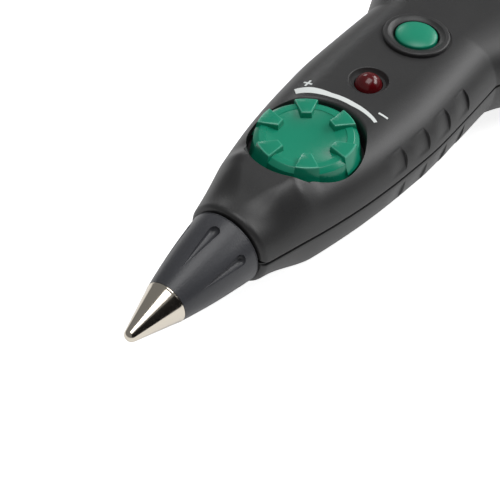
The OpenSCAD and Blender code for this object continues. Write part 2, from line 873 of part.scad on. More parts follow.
module speaker_gasket() {
    color([0.1, 0.1, 0.1])
        translate([speaker_x, 0, gasket_low])
            difference() {
                cylinder(h = gasket_t, r = speaker_r);
                translate([0, 0, -over])
                    cylinder(h = gasket_t + 2 * over, r = speaker_r - speaker_ring_w);
            }
}

module speaker_frame() {
    profile = [[basket_low_r, 0], [speaker_r - speaker_ring_w, basket_h - basket_rim_t],
        [speaker_r, basket_h - basket_rim_t], [speaker_r, basket_h], [speaker_r - speaker_ring_w, basket_h],
        [speaker_r - speaker_ring_w, basket_h - cone_t], [cone_edge_r, basket_h - cone_t],
        [basket_low_r - basket_t, basket_t], [basket_hole_r, basket_t], [basket_hole_r, 0]];
    color([0.6, 0.6, 0.62])
        translate([speaker_x, 0, basket_low])
            rotate_extrude()
                polygon(profile);
}

module speaker_cone() {
    rim_r = speaker_r - speaker_ring_w;
    cap_r = speaker_r * cap_share;
    low_z = basket_h - cone_h;
    top = [[0, low_z + cap_h], [cap_r * cap_mid_share, low_z + cap_h * cap_mid_h_share], [cap_r, low_z],
        [cone_edge_r, basket_h], [rim_r, basket_h]];
    under = turned([for (p = top) [p[0], p[1] - cone_t]]);
    profile = concat(top, under);
    color([0.2, 0.2, 0.2])
        translate([speaker_x, 0, basket_low])
            rotate_extrude()
                polygon(profile);
}

module speaker_magnet() {
    color([0.3, 0.3, 0.32])
        translate([speaker_x, 0, basket_low - magnet_h])
            cylinder(h = magnet_h, r = speaker_r * magnet_share);
}

// Headphone socket, hanging under the board with its nose in the side wall
jack_x = hand_boss_x - low_boss_r - moulding_gap - jack_w / 2;
jack_z = board_low - jack_h / 2;
jack_hole_r = jack_nose_r + seat_gap;
jack_wall_y = low_half_at(jack_x, axis_z - jack_z, wall);
jack_body_y = low_half_at(jack_x, axis_z - jack_z + jack_h / 2, wall) - moulding_gap;
jack_face_y = low_half_at(jack_x, axis_z - jack_z, 0) - jack_nose_in;

module headphone_jack() {
    color([0.1, 0.1, 0.11])
        difference() {
            union() {
                translate([jack_x - jack_w / 2, jack_body_y - jack_l, board_low - jack_h])
                    cube([jack_w, jack_l, jack_h]);
                translate([jack_x, jack_body_y - jack_nose_r, jack_z])
                    rotate([-90, 0, 0])
                        cylinder(h = jack_face_y - jack_body_y + jack_nose_r, r = jack_nose_r);
            }
            translate([jack_x, jack_body_y - jack_l + over, jack_z])
                rotate([-90, 0, 0])
                    cylinder(h = jack_l + jack_face_y, r = jack_bore_r);
        }
}

// Battery bay, from the bulkhead to the end stop
bay_x = bulkhead_x + bulk_t;
snap_x = bay_x + moulding_gap;
battery_x = snap_x + snap_t;
battery_end = battery_x + battery_l;
battery_z = door_t + seat_gap;
battery_top = battery_z + battery_h;
terminal_z = battery_z + battery_h / 2;

module battery() {
    color([0.75, 0.6, 0.3])
        translate([battery_x, 0, battery_z])
            rotate([90, 0, 90])
                linear_extrude(battery_l)
                    battery_outline();
}

module battery_outline() {
    hw = battery_w / 2 - battery_edge_r;
    for (s = [-1, 1], z = [battery_edge_r, battery_h - battery_edge_r])
        translate([s * hw, z])
            circle(r = battery_edge_r);
    translate([-hw, 0])
        square([2 * hw, battery_h]);
    translate([-battery_w / 2, battery_edge_r])
        square([battery_w, battery_h - 2 * battery_edge_r]);
}

module terminal_rods(x, l, r) {
    for (s = [-1, 1])
        translate([x, s * terminal_pitch / 2, terminal_z])
            rotate([0, 90, 0])
                cylinder(h = l, r = r);
}

module battery_terminals() {
    color("silver")
        difference() {
            terminal_rods(battery_x - terminal_h, terminal_h, terminal_r);
            terminal_rods(battery_x - terminal_h - over, terminal_h, terminal_r - terminal_shell_t);
        }
}

module battery_snap() {
    color([0.1, 0.1, 0.1])
        difference() {
            translate([snap_x, -snap_w / 2, terminal_z - snap_h / 2])
                cube([snap_t, snap_w, snap_h]);
            terminal_rods(battery_x - terminal_h - fit_gap, terminal_h + over, terminal_r + fit_gap);
        }
}

// Foam pad that holds the battery down
module battery_pad() {
    low = battery_top;
    high = rib_low_z;
    color([0.25, 0.25, 0.27])
        translate([battery_x + (battery_l - pad_l) / 2, -pad_w / 2, low])
            cube([pad_l, pad_w, high - low]);
}

// Battery door and its guides
door_x0 = bay_x + door_gap;
guide_low = tongue_low - door_gap + fit_gap / 2;
guide_top = door_t + door_gap;
tongue_x1 = tail_x - tail_lift_l - over;
way_tail_x = tail_x - tail_lift_l - wall;
door_tail_x = way_tail_x + door_gap;

module door_form() {
    difference() {
        intersection() {
            loft([for (x = outer_xs) if (x > bulkhead_x - flare_l) low_outer(x)]);
            union() {
                translate([door_x0, -door_w / 2, 0])
                    cube([tail_x - door_x0 + over, door_w, door_t]);
                translate([door_tail_x, -door_w / 2, 0])
                    cube([tail_x - door_tail_x + over, door_w, door_rise]);
            }
        }
        intersection() {
            loft([for (x = inner_xs) if (x > bulkhead_x - flare_l) low_inner(x)]);
            translate([bulkhead_x, -door_w, door_t])
                cube([bay_l + over, 2 * door_w, belly_h]);
        }
    }
}

module battery_door() {
    grip_x = tail_x - door_grip_back;
    color([0.16, 0.16, 0.17])
        difference() {
            union() {
                door_form();
                for (s = [-1, 1])
                    translate([door_x0, s > 0 ? door_w / 2 - over : -door_w / 2 - tongue_w, tongue_low])
                        cube([tongue_x1 - door_x0, tongue_w + over, door_t - tongue_low]);
            }
            for (i = [0:door_grip_n - 1])
                translate([grip_x - i * door_grip_pitch, 0, 0])
                    rotate([90, 0, 0])
                        translate([0, 0, -door_w / 4])
                            cylinder(h = door_w / 2, r = door_grip_w / 2);
        }
}

// Screws that join the shells from below
module case_screws() {
    color("silver")
        for (p = boss_places)
            translate([p[0], p[1], 0]) {
                translate([0, 0, seat_z - head_t])
                    cylinder(h = head_t, r = head_r);
                translate([0, 0, seat_z - head_t / 2])
                    cylinder(h = screw_l + head_t / 2, r = screw_r);
            }
}

// Grip scallops along both sides
module scallop_cuts(dir) {
    start = dir > 0 ? scallop_up : scallop_low;
    h = dir > 0 ? scallop_h : scallop_low_h;
    for (s = [-1, 1], i = [0:scallop_n - 1]) {
        x = waist_x - scallop_from_waist - i * scallop_pitch;
        translate([x, s * (half_w(x) + scallop_r - scallop_d), axis_z + dir * start])
            rotate([s * dir * scallop_tilt, 0, 0])
                translate([0, 0, dir > 0 ? 0 : -h])
                    cylinder(h = h, r = scallop_r);
    }
}

// Upper shell with its recess, dish, collar and grille
rib_low_z = battery_top + pad_t;

module recess_cut() {
    lip = [for (i = [0:lip_fine])
        let (a = 90 * i / lip_fine)
        [recess_r + recess_lip_r * (1 - cos(a)), recess_d - recess_lip_r * (1 - sin(a))]];
    translate([knob_x, 0, knob_floor])
        rotate_extrude()
            polygon(concat([[0, 0], [recess_r, 0]], lip,
                [[recess_r + recess_lip_r, recess_d + over], [0, recess_d + over]]));
}

module led_dish_cut() {
    top = axis_z + face_h;
    translate([led_x, 0, top - led_dish_d])
        cylinder(h = led_dish_d, r1 = led_r + fit_gap + edge_r, r2 = led_dish_r);
    translate([led_x, 0, face_in - over])
        cylinder(h = wall + 2 * over, r = led_r + fit_gap);
}

module collar_ring() {
    base = axis_z + face_h - wall / 2;
    loft([oval_ring(collar_l, collar_w, 0, base), oval_ring(collar_l, collar_w, 0, collar_top - edge_r),
        oval_ring(collar_l, collar_w, -edge_r / 2, collar_top)]);
}

module collar_cut() {
    loft([oval_ring(button_l, button_w, button_gap, collar_top - dish_fall),
        oval_ring(collar_l, collar_w, -collar_lip, collar_top + fit_gap)]);
    translate([button_x, 0, face_in - over])
        linear_extrude(wall + collar_h + 2 * over)
            polygon(oval(button_l, button_w, button_gap));
}

module grille_cuts() {
    reach = (speaker_r - speaker_ring_w) * grille_r_share;
    for (i = [0:grille_n - 1]) {
        y = (2 * i / (grille_n - 1) - 1) * reach * grille_spread_share;
        l = sqrt(max(reach ^ 2 - y ^ 2, grille_slot_w ^ 2));
        translate([speaker_x, y, speaker_seat - over]) {
            translate([-l, -grille_slot_w / 2, 0])
                cube([2 * l, grille_slot_w, crown_h]);
            for (s = [-1, 1])
                translate([s * l, 0, 0])
                    cylinder(h = crown_h, r = grille_slot_w / 2);
        }
    }
}

// What stands inside the upper shell and is left out of its hollow
module upper_inside() {
    translate([knob_x, 0, knob_floor - cup_t])
        cylinder(h = recess_d + cup_t, r = recess_r + cup_t);
    for (p = boss_places)
        translate([p[0], p[1], axis_z])
            cylinder(h = crown_h, r = boss_r);
    translate([speaker_x, 0, speaker_seat])
        difference() {
            cylinder(h = crown_h, r = speaker_r + seat_gap);
            translate([0, 0, -over])
                cylinder(h = crown_h + 2 * over, r = speaker_r - speaker_ring_w);
        }
    for (k = [rib_share, 1 - rib_share])
        translate([battery_x + battery_l * k - rib_t / 2, -handle_w / 2, rib_low_z])
            cube([rib_t, handle_w, crown_h]);
    translate([battery_end + seat_gap, -battery_w / 2, axis_z - over])
        cube([rib_t, battery_w, crown_h]);
}

module upper_shell() {
    color([0.17, 0.17, 0.18])
        difference() {
            union() {
                loft([for (x = outer_xs) top_outer(x)]);
                collar_ring();
            }
            difference() {
                loft([for (x = inner_xs) top_inner(x)]);
                upper_inside();
            }
            nose_seat_cut();
            recess_cut();
            translate([knob_x, 0, knob_floor - cup_t - over])
                cylinder(h = cup_t + 2 * over, r = shaft_r + seat_gap);
            led_dish_cut();
            collar_cut();
            grille_cuts();
            scallop_cuts(1);
            for (p = boss_places)
                translate([p[0], p[1], axis_z - over])
                    cylinder(h = screw_l - seat_drop + over + seat_gap, r = screw_r + pilot_gap);
        }
}

// Bore and groove in the front ring that hold the nose cone
module nose_seat_cut() {
    rod_x(front_x - over, hollow_x - front_x + 2 * over, spigot_r + fit_gap * 2);
    rod_x(front_x + nose_groove_x, nose_groove_l, collar_r + fit_gap);
}

// What stands inside the lower shell and is left out of its hollow
module lower_inside() {
    for (p = boss_places)
        translate([p[0], p[1], 0])
            cylinder(h = axis_z, r = low_boss_r);
    for (x = post_xs)
        translate([x, 0, 0])
            cylinder(h = board_low, r = post_r);
    for (k = [board_rib_front_share, board_rib_back_share])
        translate([mix(board_x0, board_x1, k) - rib_t / 2, -handle_w / 2, 0])
            cube([rib_t, handle_w, board_low]);
    translate([bulkhead_x, -handle_w / 2, 0])
        cube([bulk_t, handle_w, axis_z]);
    for (s = [-1, 1])
        translate([bulkhead_x, s > 0 ? bay_half : -bay_half - bay_wall_t, guide_low])
            cube([battery_end - bulkhead_x, bay_wall_t, axis_z - guide_low]);
    for (s = [-1, 1])
        translate([bulkhead_x, s > 0 ? bay_half : -rail_half, guide_low])
            cube([battery_end - bulkhead_x, rail_half - bay_half, guide_top + rail_t - guide_low]);
}

bay_half = battery_w / 2 + moulding_gap;
rail_half = door_w / 2 + tongue_w + door_gap + rail_t;

module door_way() {
    reach = tail_x - bay_x + over;
    translate([bay_x, -door_w / 2 - door_gap, -over])
        cube([reach, door_w + 2 * door_gap, guide_top + over]);
    translate([bay_x, -door_w / 2 - tongue_w - door_gap, guide_low])
        cube([reach, door_w + 2 * (tongue_w + door_gap), guide_top - guide_low]);
    translate([way_tail_x, -door_w / 2 - door_gap, -over])
        cube([tail_lift_l + wall + over, door_w + 2 * door_gap, door_rise + door_gap + over]);
}

module lower_shell() {
    color([0.19, 0.19, 0.2])
        difference() {
            loft([for (x = outer_xs) low_outer(x)]);
            difference() {
                loft([for (x = inner_xs) low_inner(x)]);
                lower_inside();
            }
            nose_seat_cut();
            door_way();
            scallop_cuts(-1);
            for (p = boss_places)
                translate([p[0], p[1], 0]) {
                    translate([0, 0, -over])
                        cylinder(h = seat_z + over, r = counter_r);
                    cylinder(h = axis_z + over, r = screw_r + fit_gap);
                }
            for (x = post_xs)
                translate([x, 0, board_top - board_screw_l - fit_gap])
                    cylinder(h = board_screw_l, r = board_screw_r + pilot_gap);
            translate([jack_x, jack_wall_y - wall, jack_z])
                rotate([-90, 0, 0])
                    cylinder(h = 2 * wall + handle_w / 2, r = jack_hole_r);
            translate([bulkhead_x - over, -slot_w / 2, axis_z - slot_h])
                cube([bulk_t + 2 * over, slot_w, slot_h + over]);
        }
}

// Leads that the probe holds all the way
module tip_lead() {
    z0 = axis_z - tag_l + lead_r;
    z1 = board_top + lead_r + fit_gap;
    x0 = tag_x + tag_t + lead_gap;
    x1 = board_x0 + 4 * lead_r;
    color([0.8, 0.1, 0.1])
        lead([for (i = [0:lead_steps])
            let (u = i / lead_steps, v = clamp01((u - lead_low_share) / (lead_high_share - lead_low_share)))
            [mix(x0, x1, u), 0, mix(z0, z1, v ^ 2 * (3 - 2 * v))]]);
}

module speaker_leads() {
    color([0.75, 0.1, 0.1])
        for (s = [-1, 1]) {
            y = s * (chip_w / 2 + leg_t + lead_r + moulding_gap);
            x0 = speaker_x - sqrt(speaker_r ^ 2 - (abs(y) - lead_r) ^ 2) - lead_gap;
            x1 = x0 - 3 * lead_r;
            z0 = gasket_low - basket_rim_t / 2;
            z1 = board_top + lead_r / 2;
            lead(smooth_route([[x0, y, z0], [x0 - lead_r, y, z0], [x1, y, z0 - 3 * lead_r],
                [x1, y, z1 + 3 * lead_r], [x1, y, z1]]));
        }
}

module battery_leads() {
    color([0.15, 0.15, 0.15])
        for (s = [-1, 1])
            let (y = s * lead_pair_y, z0 = axis_z - slot_h / 2, z1 = board_top + lead_r + fit_gap)
                lead(smooth_route([[snap_x - lead_gap, y, z0], [bulkhead_x, y, z0],
                    [board_x1, y, z1 + lead_r], [board_x1 - 4 * lead_r, y, z1],
                    [board_x1 - 6 * lead_r, y, z1]]));
}

upper_shell();
lower_shell();
nose_cone();
probe_tip();
solder_tag();
tip_nut();
tip_lead();
main_board();
board_screws();
volume_pot();
pot_shaft();
volume_knob();
led_lamp();
led_spacer();
led_leads();
switch_body();
switch_plunger();
push_button();
amplifier_chip();
chip_legs();
capacitors();
resistors();
speaker_gasket();
speaker_frame();
speaker_cone();
speaker_magnet();
speaker_leads();
headphone_jack();
battery();
battery_terminals();
battery_snap();
battery_leads();
battery_pad();
battery_door();
case_screws();
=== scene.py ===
"""Receiver probe of a cable tracer: fine surfaces, finishes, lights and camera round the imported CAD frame.

Shapes are worked out in millimetres and put into meshes in metres. X runs from the tip to the tail, Z is up.
"""
from math import atan2, cos, hypot, pi, radians, sin, sqrt

import bmesh
import bpy
import numpy as np
from mathutils import Matrix, Vector


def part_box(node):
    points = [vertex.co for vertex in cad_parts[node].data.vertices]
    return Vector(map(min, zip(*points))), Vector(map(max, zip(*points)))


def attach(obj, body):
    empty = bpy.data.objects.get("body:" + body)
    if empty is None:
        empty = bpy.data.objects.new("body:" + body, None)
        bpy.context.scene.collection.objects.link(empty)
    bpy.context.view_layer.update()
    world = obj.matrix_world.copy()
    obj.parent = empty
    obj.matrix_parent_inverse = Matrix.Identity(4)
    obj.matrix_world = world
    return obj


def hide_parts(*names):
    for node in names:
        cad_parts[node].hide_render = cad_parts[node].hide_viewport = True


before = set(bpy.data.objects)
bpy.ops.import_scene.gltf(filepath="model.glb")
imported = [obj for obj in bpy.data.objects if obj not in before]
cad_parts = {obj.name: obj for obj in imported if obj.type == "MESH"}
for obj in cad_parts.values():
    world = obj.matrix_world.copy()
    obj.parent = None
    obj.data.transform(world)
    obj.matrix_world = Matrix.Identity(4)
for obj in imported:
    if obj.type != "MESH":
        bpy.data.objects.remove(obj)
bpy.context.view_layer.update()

MM = 0.001

# Camera at the photograph's viewpoint
camera_azimuth = -53.751
camera_elevation = 46.470
camera_roll = 0.995
camera_spot = Vector((-245.8, -126.02, 235.58)) * MM
camera_lens = 120.39
camera_sensor = 36
camera_near = 10 * MM


def add_camera():
    """Camera whose axes come from azimuth, elevation and roll: back is away from the object."""
    az, el, roll = radians(camera_azimuth), radians(camera_elevation), radians(camera_roll)
    back = Vector((sin(az) * cos(el), -cos(az) * cos(el), sin(el)))
    level = Vector((cos(az), sin(az), 0))
    above = back.cross(level)
    right = cos(roll) * level + sin(roll) * above
    up = -sin(roll) * level + cos(roll) * above
    data = bpy.data.cameras.new("camera")
    data.lens = camera_lens
    data.sensor_width = camera_sensor
    data.clip_start = camera_near
    cam = bpy.data.objects.new("camera", data)
    rows = [(right[k], up[k], back[k], camera_spot[k]) for k in range(3)]
    cam.matrix_world = Matrix((*rows, (0, 0, 0, 1)))
    bpy.context.scene.collection.objects.link(cam)
    bpy.context.scene.camera = cam


add_camera()


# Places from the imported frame
def mm_box(node):
    """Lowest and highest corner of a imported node, in millimetres."""
    return [[float(v) / MM for v in corner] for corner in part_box(node)]


def middle_x(node):
    """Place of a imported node's middle along the probe."""
    low, high = mm_box(node)
    return (low[0] + high[0]) / 2


shell_low, shell_high = mm_box("upper_shell")
axis_z = shell_low[2]
front_x = shell_low[0]
tail_x = shell_high[0]
handle_w = shell_high[1] - shell_low[1]
knob_x = middle_x("volume_knob")
button_x = middle_x("push_button")
battery_x0 = mm_box("battery")[0][0]
battery_x1 = mm_box("battery")[1][0]

# Driving sizes of the shells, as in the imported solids
head_l = 67
waist_x = front_x + head_l
head_w = 32.8
waist_w = 31.6
face_h = 8.65
crown_h = 10.6
head_d = 9.6
belly_h = axis_z
ring_r = 8.3
wall = 2.0
flare_l = 28
belly_lead = 3
crown_l = 54
tail_round_l = 22
tail_lift_l = 13
valley_d = 0.55
ring_lip_r = 1.0
top_flat_share = 0.4
low_flat_share = 0.6
round_exp = 2
low_exp = 2.4
tail_exp = 2.4
tail_end_share = 0.916
over = 1
seat_gap = 0.3
face_z = axis_z + face_h

# How width, height and depth change along the probe: shares of the way, and shares of the change
widen_shares = [[0, 0], [0.115, 0.26], [0.248, 0.549], [0.391, 0.778], [0.534, 0.918], [0.69, 1], [1, 1]]
narrow_shares = [[0, 0], [0.69, 0], [0.845, 0.35], [1, 1]]
rise_shares = [[0, 0], [0.1, 0.3], [0.185, 1], [1, 1]]
valley_shares = [[0, 0], [0.03, 0.2], [0.09, 1], [0.15, 0.55], [0.185, 0], [1, 0]]
keel_shares = [[0, 0], [0.12, 0.35], [0.4, 0.62], [1, 1]]
flare_shares = [[0, 0], [0.37, 0.57], [0.71, 0.9], [1, 1]]
belly_shares = [[0, 0], [0.25, 0.12], [0.6, 0.68], [0.85, 0.96], [1, 1]]
crown_shares = [[0, 0], [0.5, 0.5], [1, 1]]
flat_shares = [[0, 0.03], [0.03, 0.05], [0.185, 1], [1, 1]]


def clamp01(v):
    """v held between 0 and 1."""
    return np.clip(v, 0, 1)


def mix(a, b, u):
    """a at u = 0, b at u = 1, in a straight line."""
    return a + (b - a) * u


def ease(u):
    """Smooth step 3u^2 - 2u^3 on the clamped u."""
    u = clamp01(u)
    return u * u * (3 - 2 * u)


def curve(table, x):
    """Cubic Hermite through (place, value) pairs; each slope is the harmonic mean of the rates beside it."""
    knots, values = np.array(table, float).T
    rate = np.diff(values) / np.diff(knots)
    a, b = rate[:-1], rate[1:]
    both = np.where(a * b <= 0, 0, 2 * a * b / np.where(a + b == 0, 1, a + b))
    slope = np.concatenate([rate[:1], both, rate[-1:]])
    i = np.clip(np.searchsorted(knots, x, side="right") - 1, 0, len(knots) - 2)
    h = np.diff(knots)[i]
    u = clamp01((x - knots[i]) / h)
    ends = values[i] * (1 + 2 * u) * (1 - u) ** 2 + values[i + 1] * u**2 * (3 - 2 * u)
    return ends + h * (slope[i] * u * (1 - u) ** 2 - slope[i + 1] * u**2 * (1 - u))


def head_share(x):
    """Share of the way from the front ring to the waist."""
    return clamp01((x - front_x) / head_l)


def flare_share(x):
    """Share of the way along the flare behind the waist."""
    return clamp01((x - waist_x) / flare_l)


def tail_k(x, length):
    """Superellipse that closes the last stretch before the tail."""
    u = clamp01((x - tail_x + length) / length) * tail_end_share
    return (1 - u**tail_exp) ** (1 / tail_exp)


def lip_cut(x):
    """What the quarter-round lip of the front ring takes off all round."""
    d = np.clip(x - front_x, 0, ring_lip_r)
    return ring_lip_r - np.sqrt(ring_lip_r**2 - (ring_lip_r - d) ** 2)


def half_w(x, q=0):
    """Half width at the parting line; the inset q gives the inner wall."""
    s = head_share(x)
    widen = (head_w / 2 - ring_r) * curve(widen_shares, s)
    narrow = (head_w - waist_w) / 2 * curve(narrow_shares, s)
    flare = (handle_w - waist_w) / 2 * curve(flare_shares, flare_share(x))
    return (ring_r + widen - narrow + flare) * tail_k(x + q, tail_round_l) - lip_cut(x) - q


def top_h(x, q=0):
    """Height above the axis."""
    s = head_share(x)
    head = mix(ring_r, face_h, curve(rise_shares, s)) - valley_d * curve(valley_shares, s)
    crown = (crown_h - face_h) * curve(crown_shares, clamp01((x - waist_x) / crown_l))
    return (head + crown) * tail_k(x + q, tail_lift_l) - lip_cut(x) - q


def low_h(x, q=0):
    """Depth below the axis; the belly starts belly_lead ahead of the flare."""
    head = mix(ring_r, head_d, curve(keel_shares, head_share(x)))
    belly = (belly_h - head_d) * curve(belly_shares, flare_share(x + belly_lead))
    return (head + belly) * tail_k(x + q, tail_lift_l) - lip_cut(x) - q


def section(x, a, q, up):
    """Half width and height of the outline at angle a from the side (0) to the middle (90 degrees).

    w is f + (W - f) cos(a)^(2/n), h is H sin(a)^(2/n); f is the flat's half width and n the roundness."""
    flat = curve(flat_shares, head_share(x))
    width = half_w(x, q)
    height = top_h(x, q) if up else low_h(x, q)
    f = width * (top_flat_share if up else low_flat_share) * flat
    n = round_exp if up else mix(round_exp, low_exp, flat)
    w = f + (width - f) * np.maximum(np.cos(a), 0) ** (2 / n)
    return w, height * np.sin(a) ** (2 / n)


# Meshes
merge_d = 1e-7
thin_edge = 1e-8
fine_sides = 96
plain_sides = 48
hole_sides = 32
arc_rows = 13
edge_rows = 7
smooth_angle = 32


def grid_faces(n, m, close_n=False, close_m=False):
    """Four-cornered faces of a grid of n rows of m points, closed round either way if asked."""
    i = np.arange(n if close_n else n - 1)[:, None]
    j = np.arange(m if close_m else m - 1)[None, :]
    k, t = (i + 1) % n, (j + 1) % m
    return np.stack([i * m + j, i * m + t, k * m + t, k * m + j], -1).reshape(-1, 4).tolist()


def make(name, points, faces):
    """Closed mesh from points in millimetres: doubles merged, then all faces turned outwards."""
    mesh = bpy.data.meshes.new(name)
    mesh.from_pydata((np.asarray(points, float).reshape(-1, 3) * MM).tolist(), [], faces)
    shape = bmesh.new()
    shape.from_mesh(mesh)
    bmesh.ops.remove_doubles(shape, verts=shape.verts, dist=merge_d)
    bmesh.ops.dissolve_degenerate(shape, edges=shape.edges, dist=thin_edge)
    bmesh.ops.recalc_face_normals(shape, faces=shape.faces)
    shape.to_mesh(mesh)
    shape.free()
    piece = bpy.data.objects.new(name, mesh)
    bpy.context.scene.collection.objects.link(piece)
    return piece


def loft(name, rings):
    """Solid through rings of points, an array (rings, points, 3), closed by a face at each end."""
    rings = np.asarray(rings, float)
    n, m = rings.shape[:2]
    caps = [list(range(m)), list(range((n - 1) * m, n * m))]
    return make(name, rings, grid_faces(n, m, close_m=True) + caps)


def lathe(name, profile, along="z", centre=(0, 0, 0), sides=fine_sides):
    """Solid from a profile of (place along, radius) pairs turned about X or Z: radius times cos t and sin t.

    The profile starts and ends on the axis, or else it is closed round a bore."""
    t = np.arange(sides) * 2 * pi / sides
    place, r = np.asarray(profile, float).T
    c, s = np.outer(np.cos(t), r), np.outer(np.sin(t), r)
    level = np.broadcast_to(place, c.shape)
    points = np.stack([level, c, s] if along == "x" else [c, s, level], -1) + np.array(centre, float)
    bored = min(profile[0][1], profile[-1][1]) > 0
    return make(name, points, grid_faces(sides, len(profile), True, bored))


def raised(outline, z):
    """Outline of (x, y) points put at height z."""
    outline = np.asarray(outline, float)
    return np.column_stack([outline, np.full(len(outline), float(z))])


def prism(name, outline, z0, z1):
    """Solid between two heights over an outline of (x, y) points."""
    return loft(name, [raised(outline, z0), raised(outline, z1)])


def block(name, low, high):
    """Box between two corners, used up as a cutter or an inner wall."""
    x0, y0, z0 = low
    x1, y1, z1 = high
    return prism(name, [[x0, y0], [x1, y0], [x1, y1], [x0, y1]], z0, z1)


def disc(centre, r, sides=plain_sides):
    """Round outline about a centre: r times cos t and sin t."""
    t = np.arange(sides) * 2 * pi / sides
    return np.column_stack([centre[0] + r * np.cos(t), centre[1] + r * np.sin(t)])


def quarter(count):
    """Sine and cosine of angles from 0 to 90 degrees, for rounded edges."""
    t = np.linspace(0, pi / 2, count)
    return np.sin(t), np.cos(t)


def carve(piece, *tools, how="DIFFERENCE"):
    """Cuts tools out of a piece, or joins them to it, and uses them up."""
    for tool in tools:
        mod = piece.modifiers.new("carve", "BOOLEAN")
        mod.operation = how
        mod.solver = "MANIFOLD"
        mod.object = tool
        result = bpy.data.meshes.new_from_object(piece.evaluated_get(bpy.context.evaluated_depsgraph_get()))
        piece.modifiers.clear()
        piece.data = result
        bpy.data.objects.remove(tool)
    return piece


def joined(piece, *tools):
    """The piece with the tools added to it."""
    return carve(piece, *tools, how="UNION")


def finish_piece(piece, name, body, material, nodes=(), smooth=smooth_angle):
    """Name, smooth shading that keeps edges over so many degrees, finish, and the body that it rides on."""
    piece.name = name
    piece.data.shade_smooth()
    piece.data.set_sharp_from_angle(angle=radians(smooth))
    if not any(piece.data.materials):
        piece.data.materials.clear()
        piece.data.materials.append(material)
    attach(piece, body)
    if nodes:
        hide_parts(*nodes)


# Materials
def hexed(code):
    """Linear colour from an sRGB hex code, by the curve of the sRGB standard."""
    parts = [int(code[i:i + 2], 16) / 255 for i in (0, 2, 4)]
    return (*[v / 12.92 if v <= 0.04045 else ((v + 0.055) / 1.055) ** 2.4 for v in parts], 1)


def add(tree, kind, settings=None, **inputs):
    """One node with its settings; each input is a value or another node's socket, under the socket's name."""
    node = tree.nodes.new("ShaderNode" + kind)
    for key, value in (settings or {}).items():
        setattr(node, key, value)
    for key, value in inputs.items():
        socket = node.inputs[int(key[1:]) if key[1:].isdigit() else key.replace("_", " ")]
        if isinstance(value, bpy.types.NodeSocket):
            tree.links.new(value, socket)
        else:
            socket.default_value = value
    return node


def started(name):
    """Empty material, its node tree, and the piece's own place in millimetres."""
    material = bpy.data.materials.new(name)
    material.use_nodes = True
    tree = material.node_tree
    tree.nodes.clear()
    own = add(tree, "TexCoord").outputs["Object"]
    place = add(tree, "VectorMath", {"operation": "SCALE"}, Vector=own, Scale=1 / MM).outputs[0]
    return material, tree, place


def closed(material, tree, shader):
    """The material with its shader led to the surface."""
    add(tree, "OutputMaterial", None, Surface=shader.outputs[0])
    return material


# Usual IOR of ABS, nylon and PVC, and of clear epoxy; a metal keeps the default
plastic_ior = 1.5
epoxy_ior = 1.53
flow_mm = 9
flow_rough = 0.03
blotch_mm = 3
blotch_share = 0.2
line_stretch = 8


def moulded(name, colour, worn, rough, grain_mm=0.35, grain_h=0.012):
    """Moulded plastic: the mould's grain as bump, and faint clouds of colour and roughness where it flowed.

    The real grain is 0.05 to 0.1 mm wide, too fine for the render, so it is drawn grain_mm wide."""
    material, tree, place = started(name)
    flow = add(tree, "TexNoise", None, Vector=place, Scale=1 / flow_mm, Detail=3.0).outputs["Fac"]
    grain = add(tree, "TexNoise", None, Vector=place, Scale=1 / grain_mm, Detail=2.0).outputs["Fac"]
    tint = add(tree, "Mix", {"data_type": "RGBA"}, i0=flow, i6=hexed(colour), i7=hexed(worn)).outputs[2]
    bump = add(tree, "Bump", None, Height=grain, Strength=1.0, Distance=grain_h * MM).outputs[0]
    sheen = add(tree, "MapRange", None, Value=flow, To_Min=rough - flow_rough, To_Max=rough + flow_rough)
    return closed(material, tree, add(tree, "BsdfPrincipled", None, Base_Color=tint, Normal=bump,
                                      Roughness=sheen.outputs[0], IOR=plastic_ior))


def metal(name, colour, rough, line_mm=0.15, line_h=0.002):
    """Plated or turned metal: hair lines along X, line_mm apart, as bump, and faint blotches of roughness.

    Real polishing lines are hundredths of a millimetre apart, so they are drawn coarser."""
    material, tree, place = started(name)
    across = (1, line_stretch, line_stretch)
    drawn = add(tree, "VectorMath", {"operation": "MULTIPLY"}, i0=place, i1=across).outputs[0]
    lines = add(tree, "TexNoise", None, Vector=drawn, Scale=1 / (line_mm * line_stretch), Detail=3.0)
    blotch = add(tree, "TexNoise", None, Vector=place, Scale=1 / blotch_mm, Detail=2.0).outputs["Fac"]
    bump = add(tree, "Bump", None, Height=lines.outputs["Fac"], Strength=1.0, Distance=line_h * MM).outputs[0]
    sheen = add(tree, "MapRange", None, Value=blotch, To_Min=rough * (1 - blotch_share),
                To_Max=rough * (1 + blotch_share))
    return closed(material, tree, add(tree, "BsdfPrincipled", None, Base_Color=hexed(colour), Metallic=1.0,
                                      Normal=bump, Roughness=sheen.outputs[0]))


def banded(name, first, second, pitch_mm, axis, share, rough):
    """Two colours in straight bands across an axis, pitch_mm from middle to middle."""
    material, tree, place = started(name)
    along = add(tree, "SeparateXYZ", None, Vector=place).outputs[axis]
    step = add(tree, "Math", {"operation": "PINGPONG"}, i0=along, i1=pitch_mm).outputs[0]
    edge = add(tree, "Math", {"operation": "LESS_THAN"}, i0=step, i1=pitch_mm * share).outputs[0]
    tint = add(tree, "Mix", {"data_type": "RGBA"}, i0=edge, i6=hexed(first), i7=hexed(second)).outputs[2]
    return closed(material, tree, add(tree, "BsdfPrincipled", None, Base_Color=tint, Roughness=rough,
                                      IOR=plastic_ior))


# ABS from a spark-eroded mould: near black and satin, with a broad soft shine and a fine even grain
shell_abs = moulded("shell_abs", "2a2a2b", "303030", 0.42, grain_h=0.018)
# The same ABS from the lower half's own mould, a touch smoother to the eye
lower_abs = moulded("lower_shell_abs", "2b2b2c", "303030", 0.42)
# The same ABS, rubbed dull where the thumb slides the door
door_abs = moulded("door_abs", "2b2b2c", "303030", 0.45)
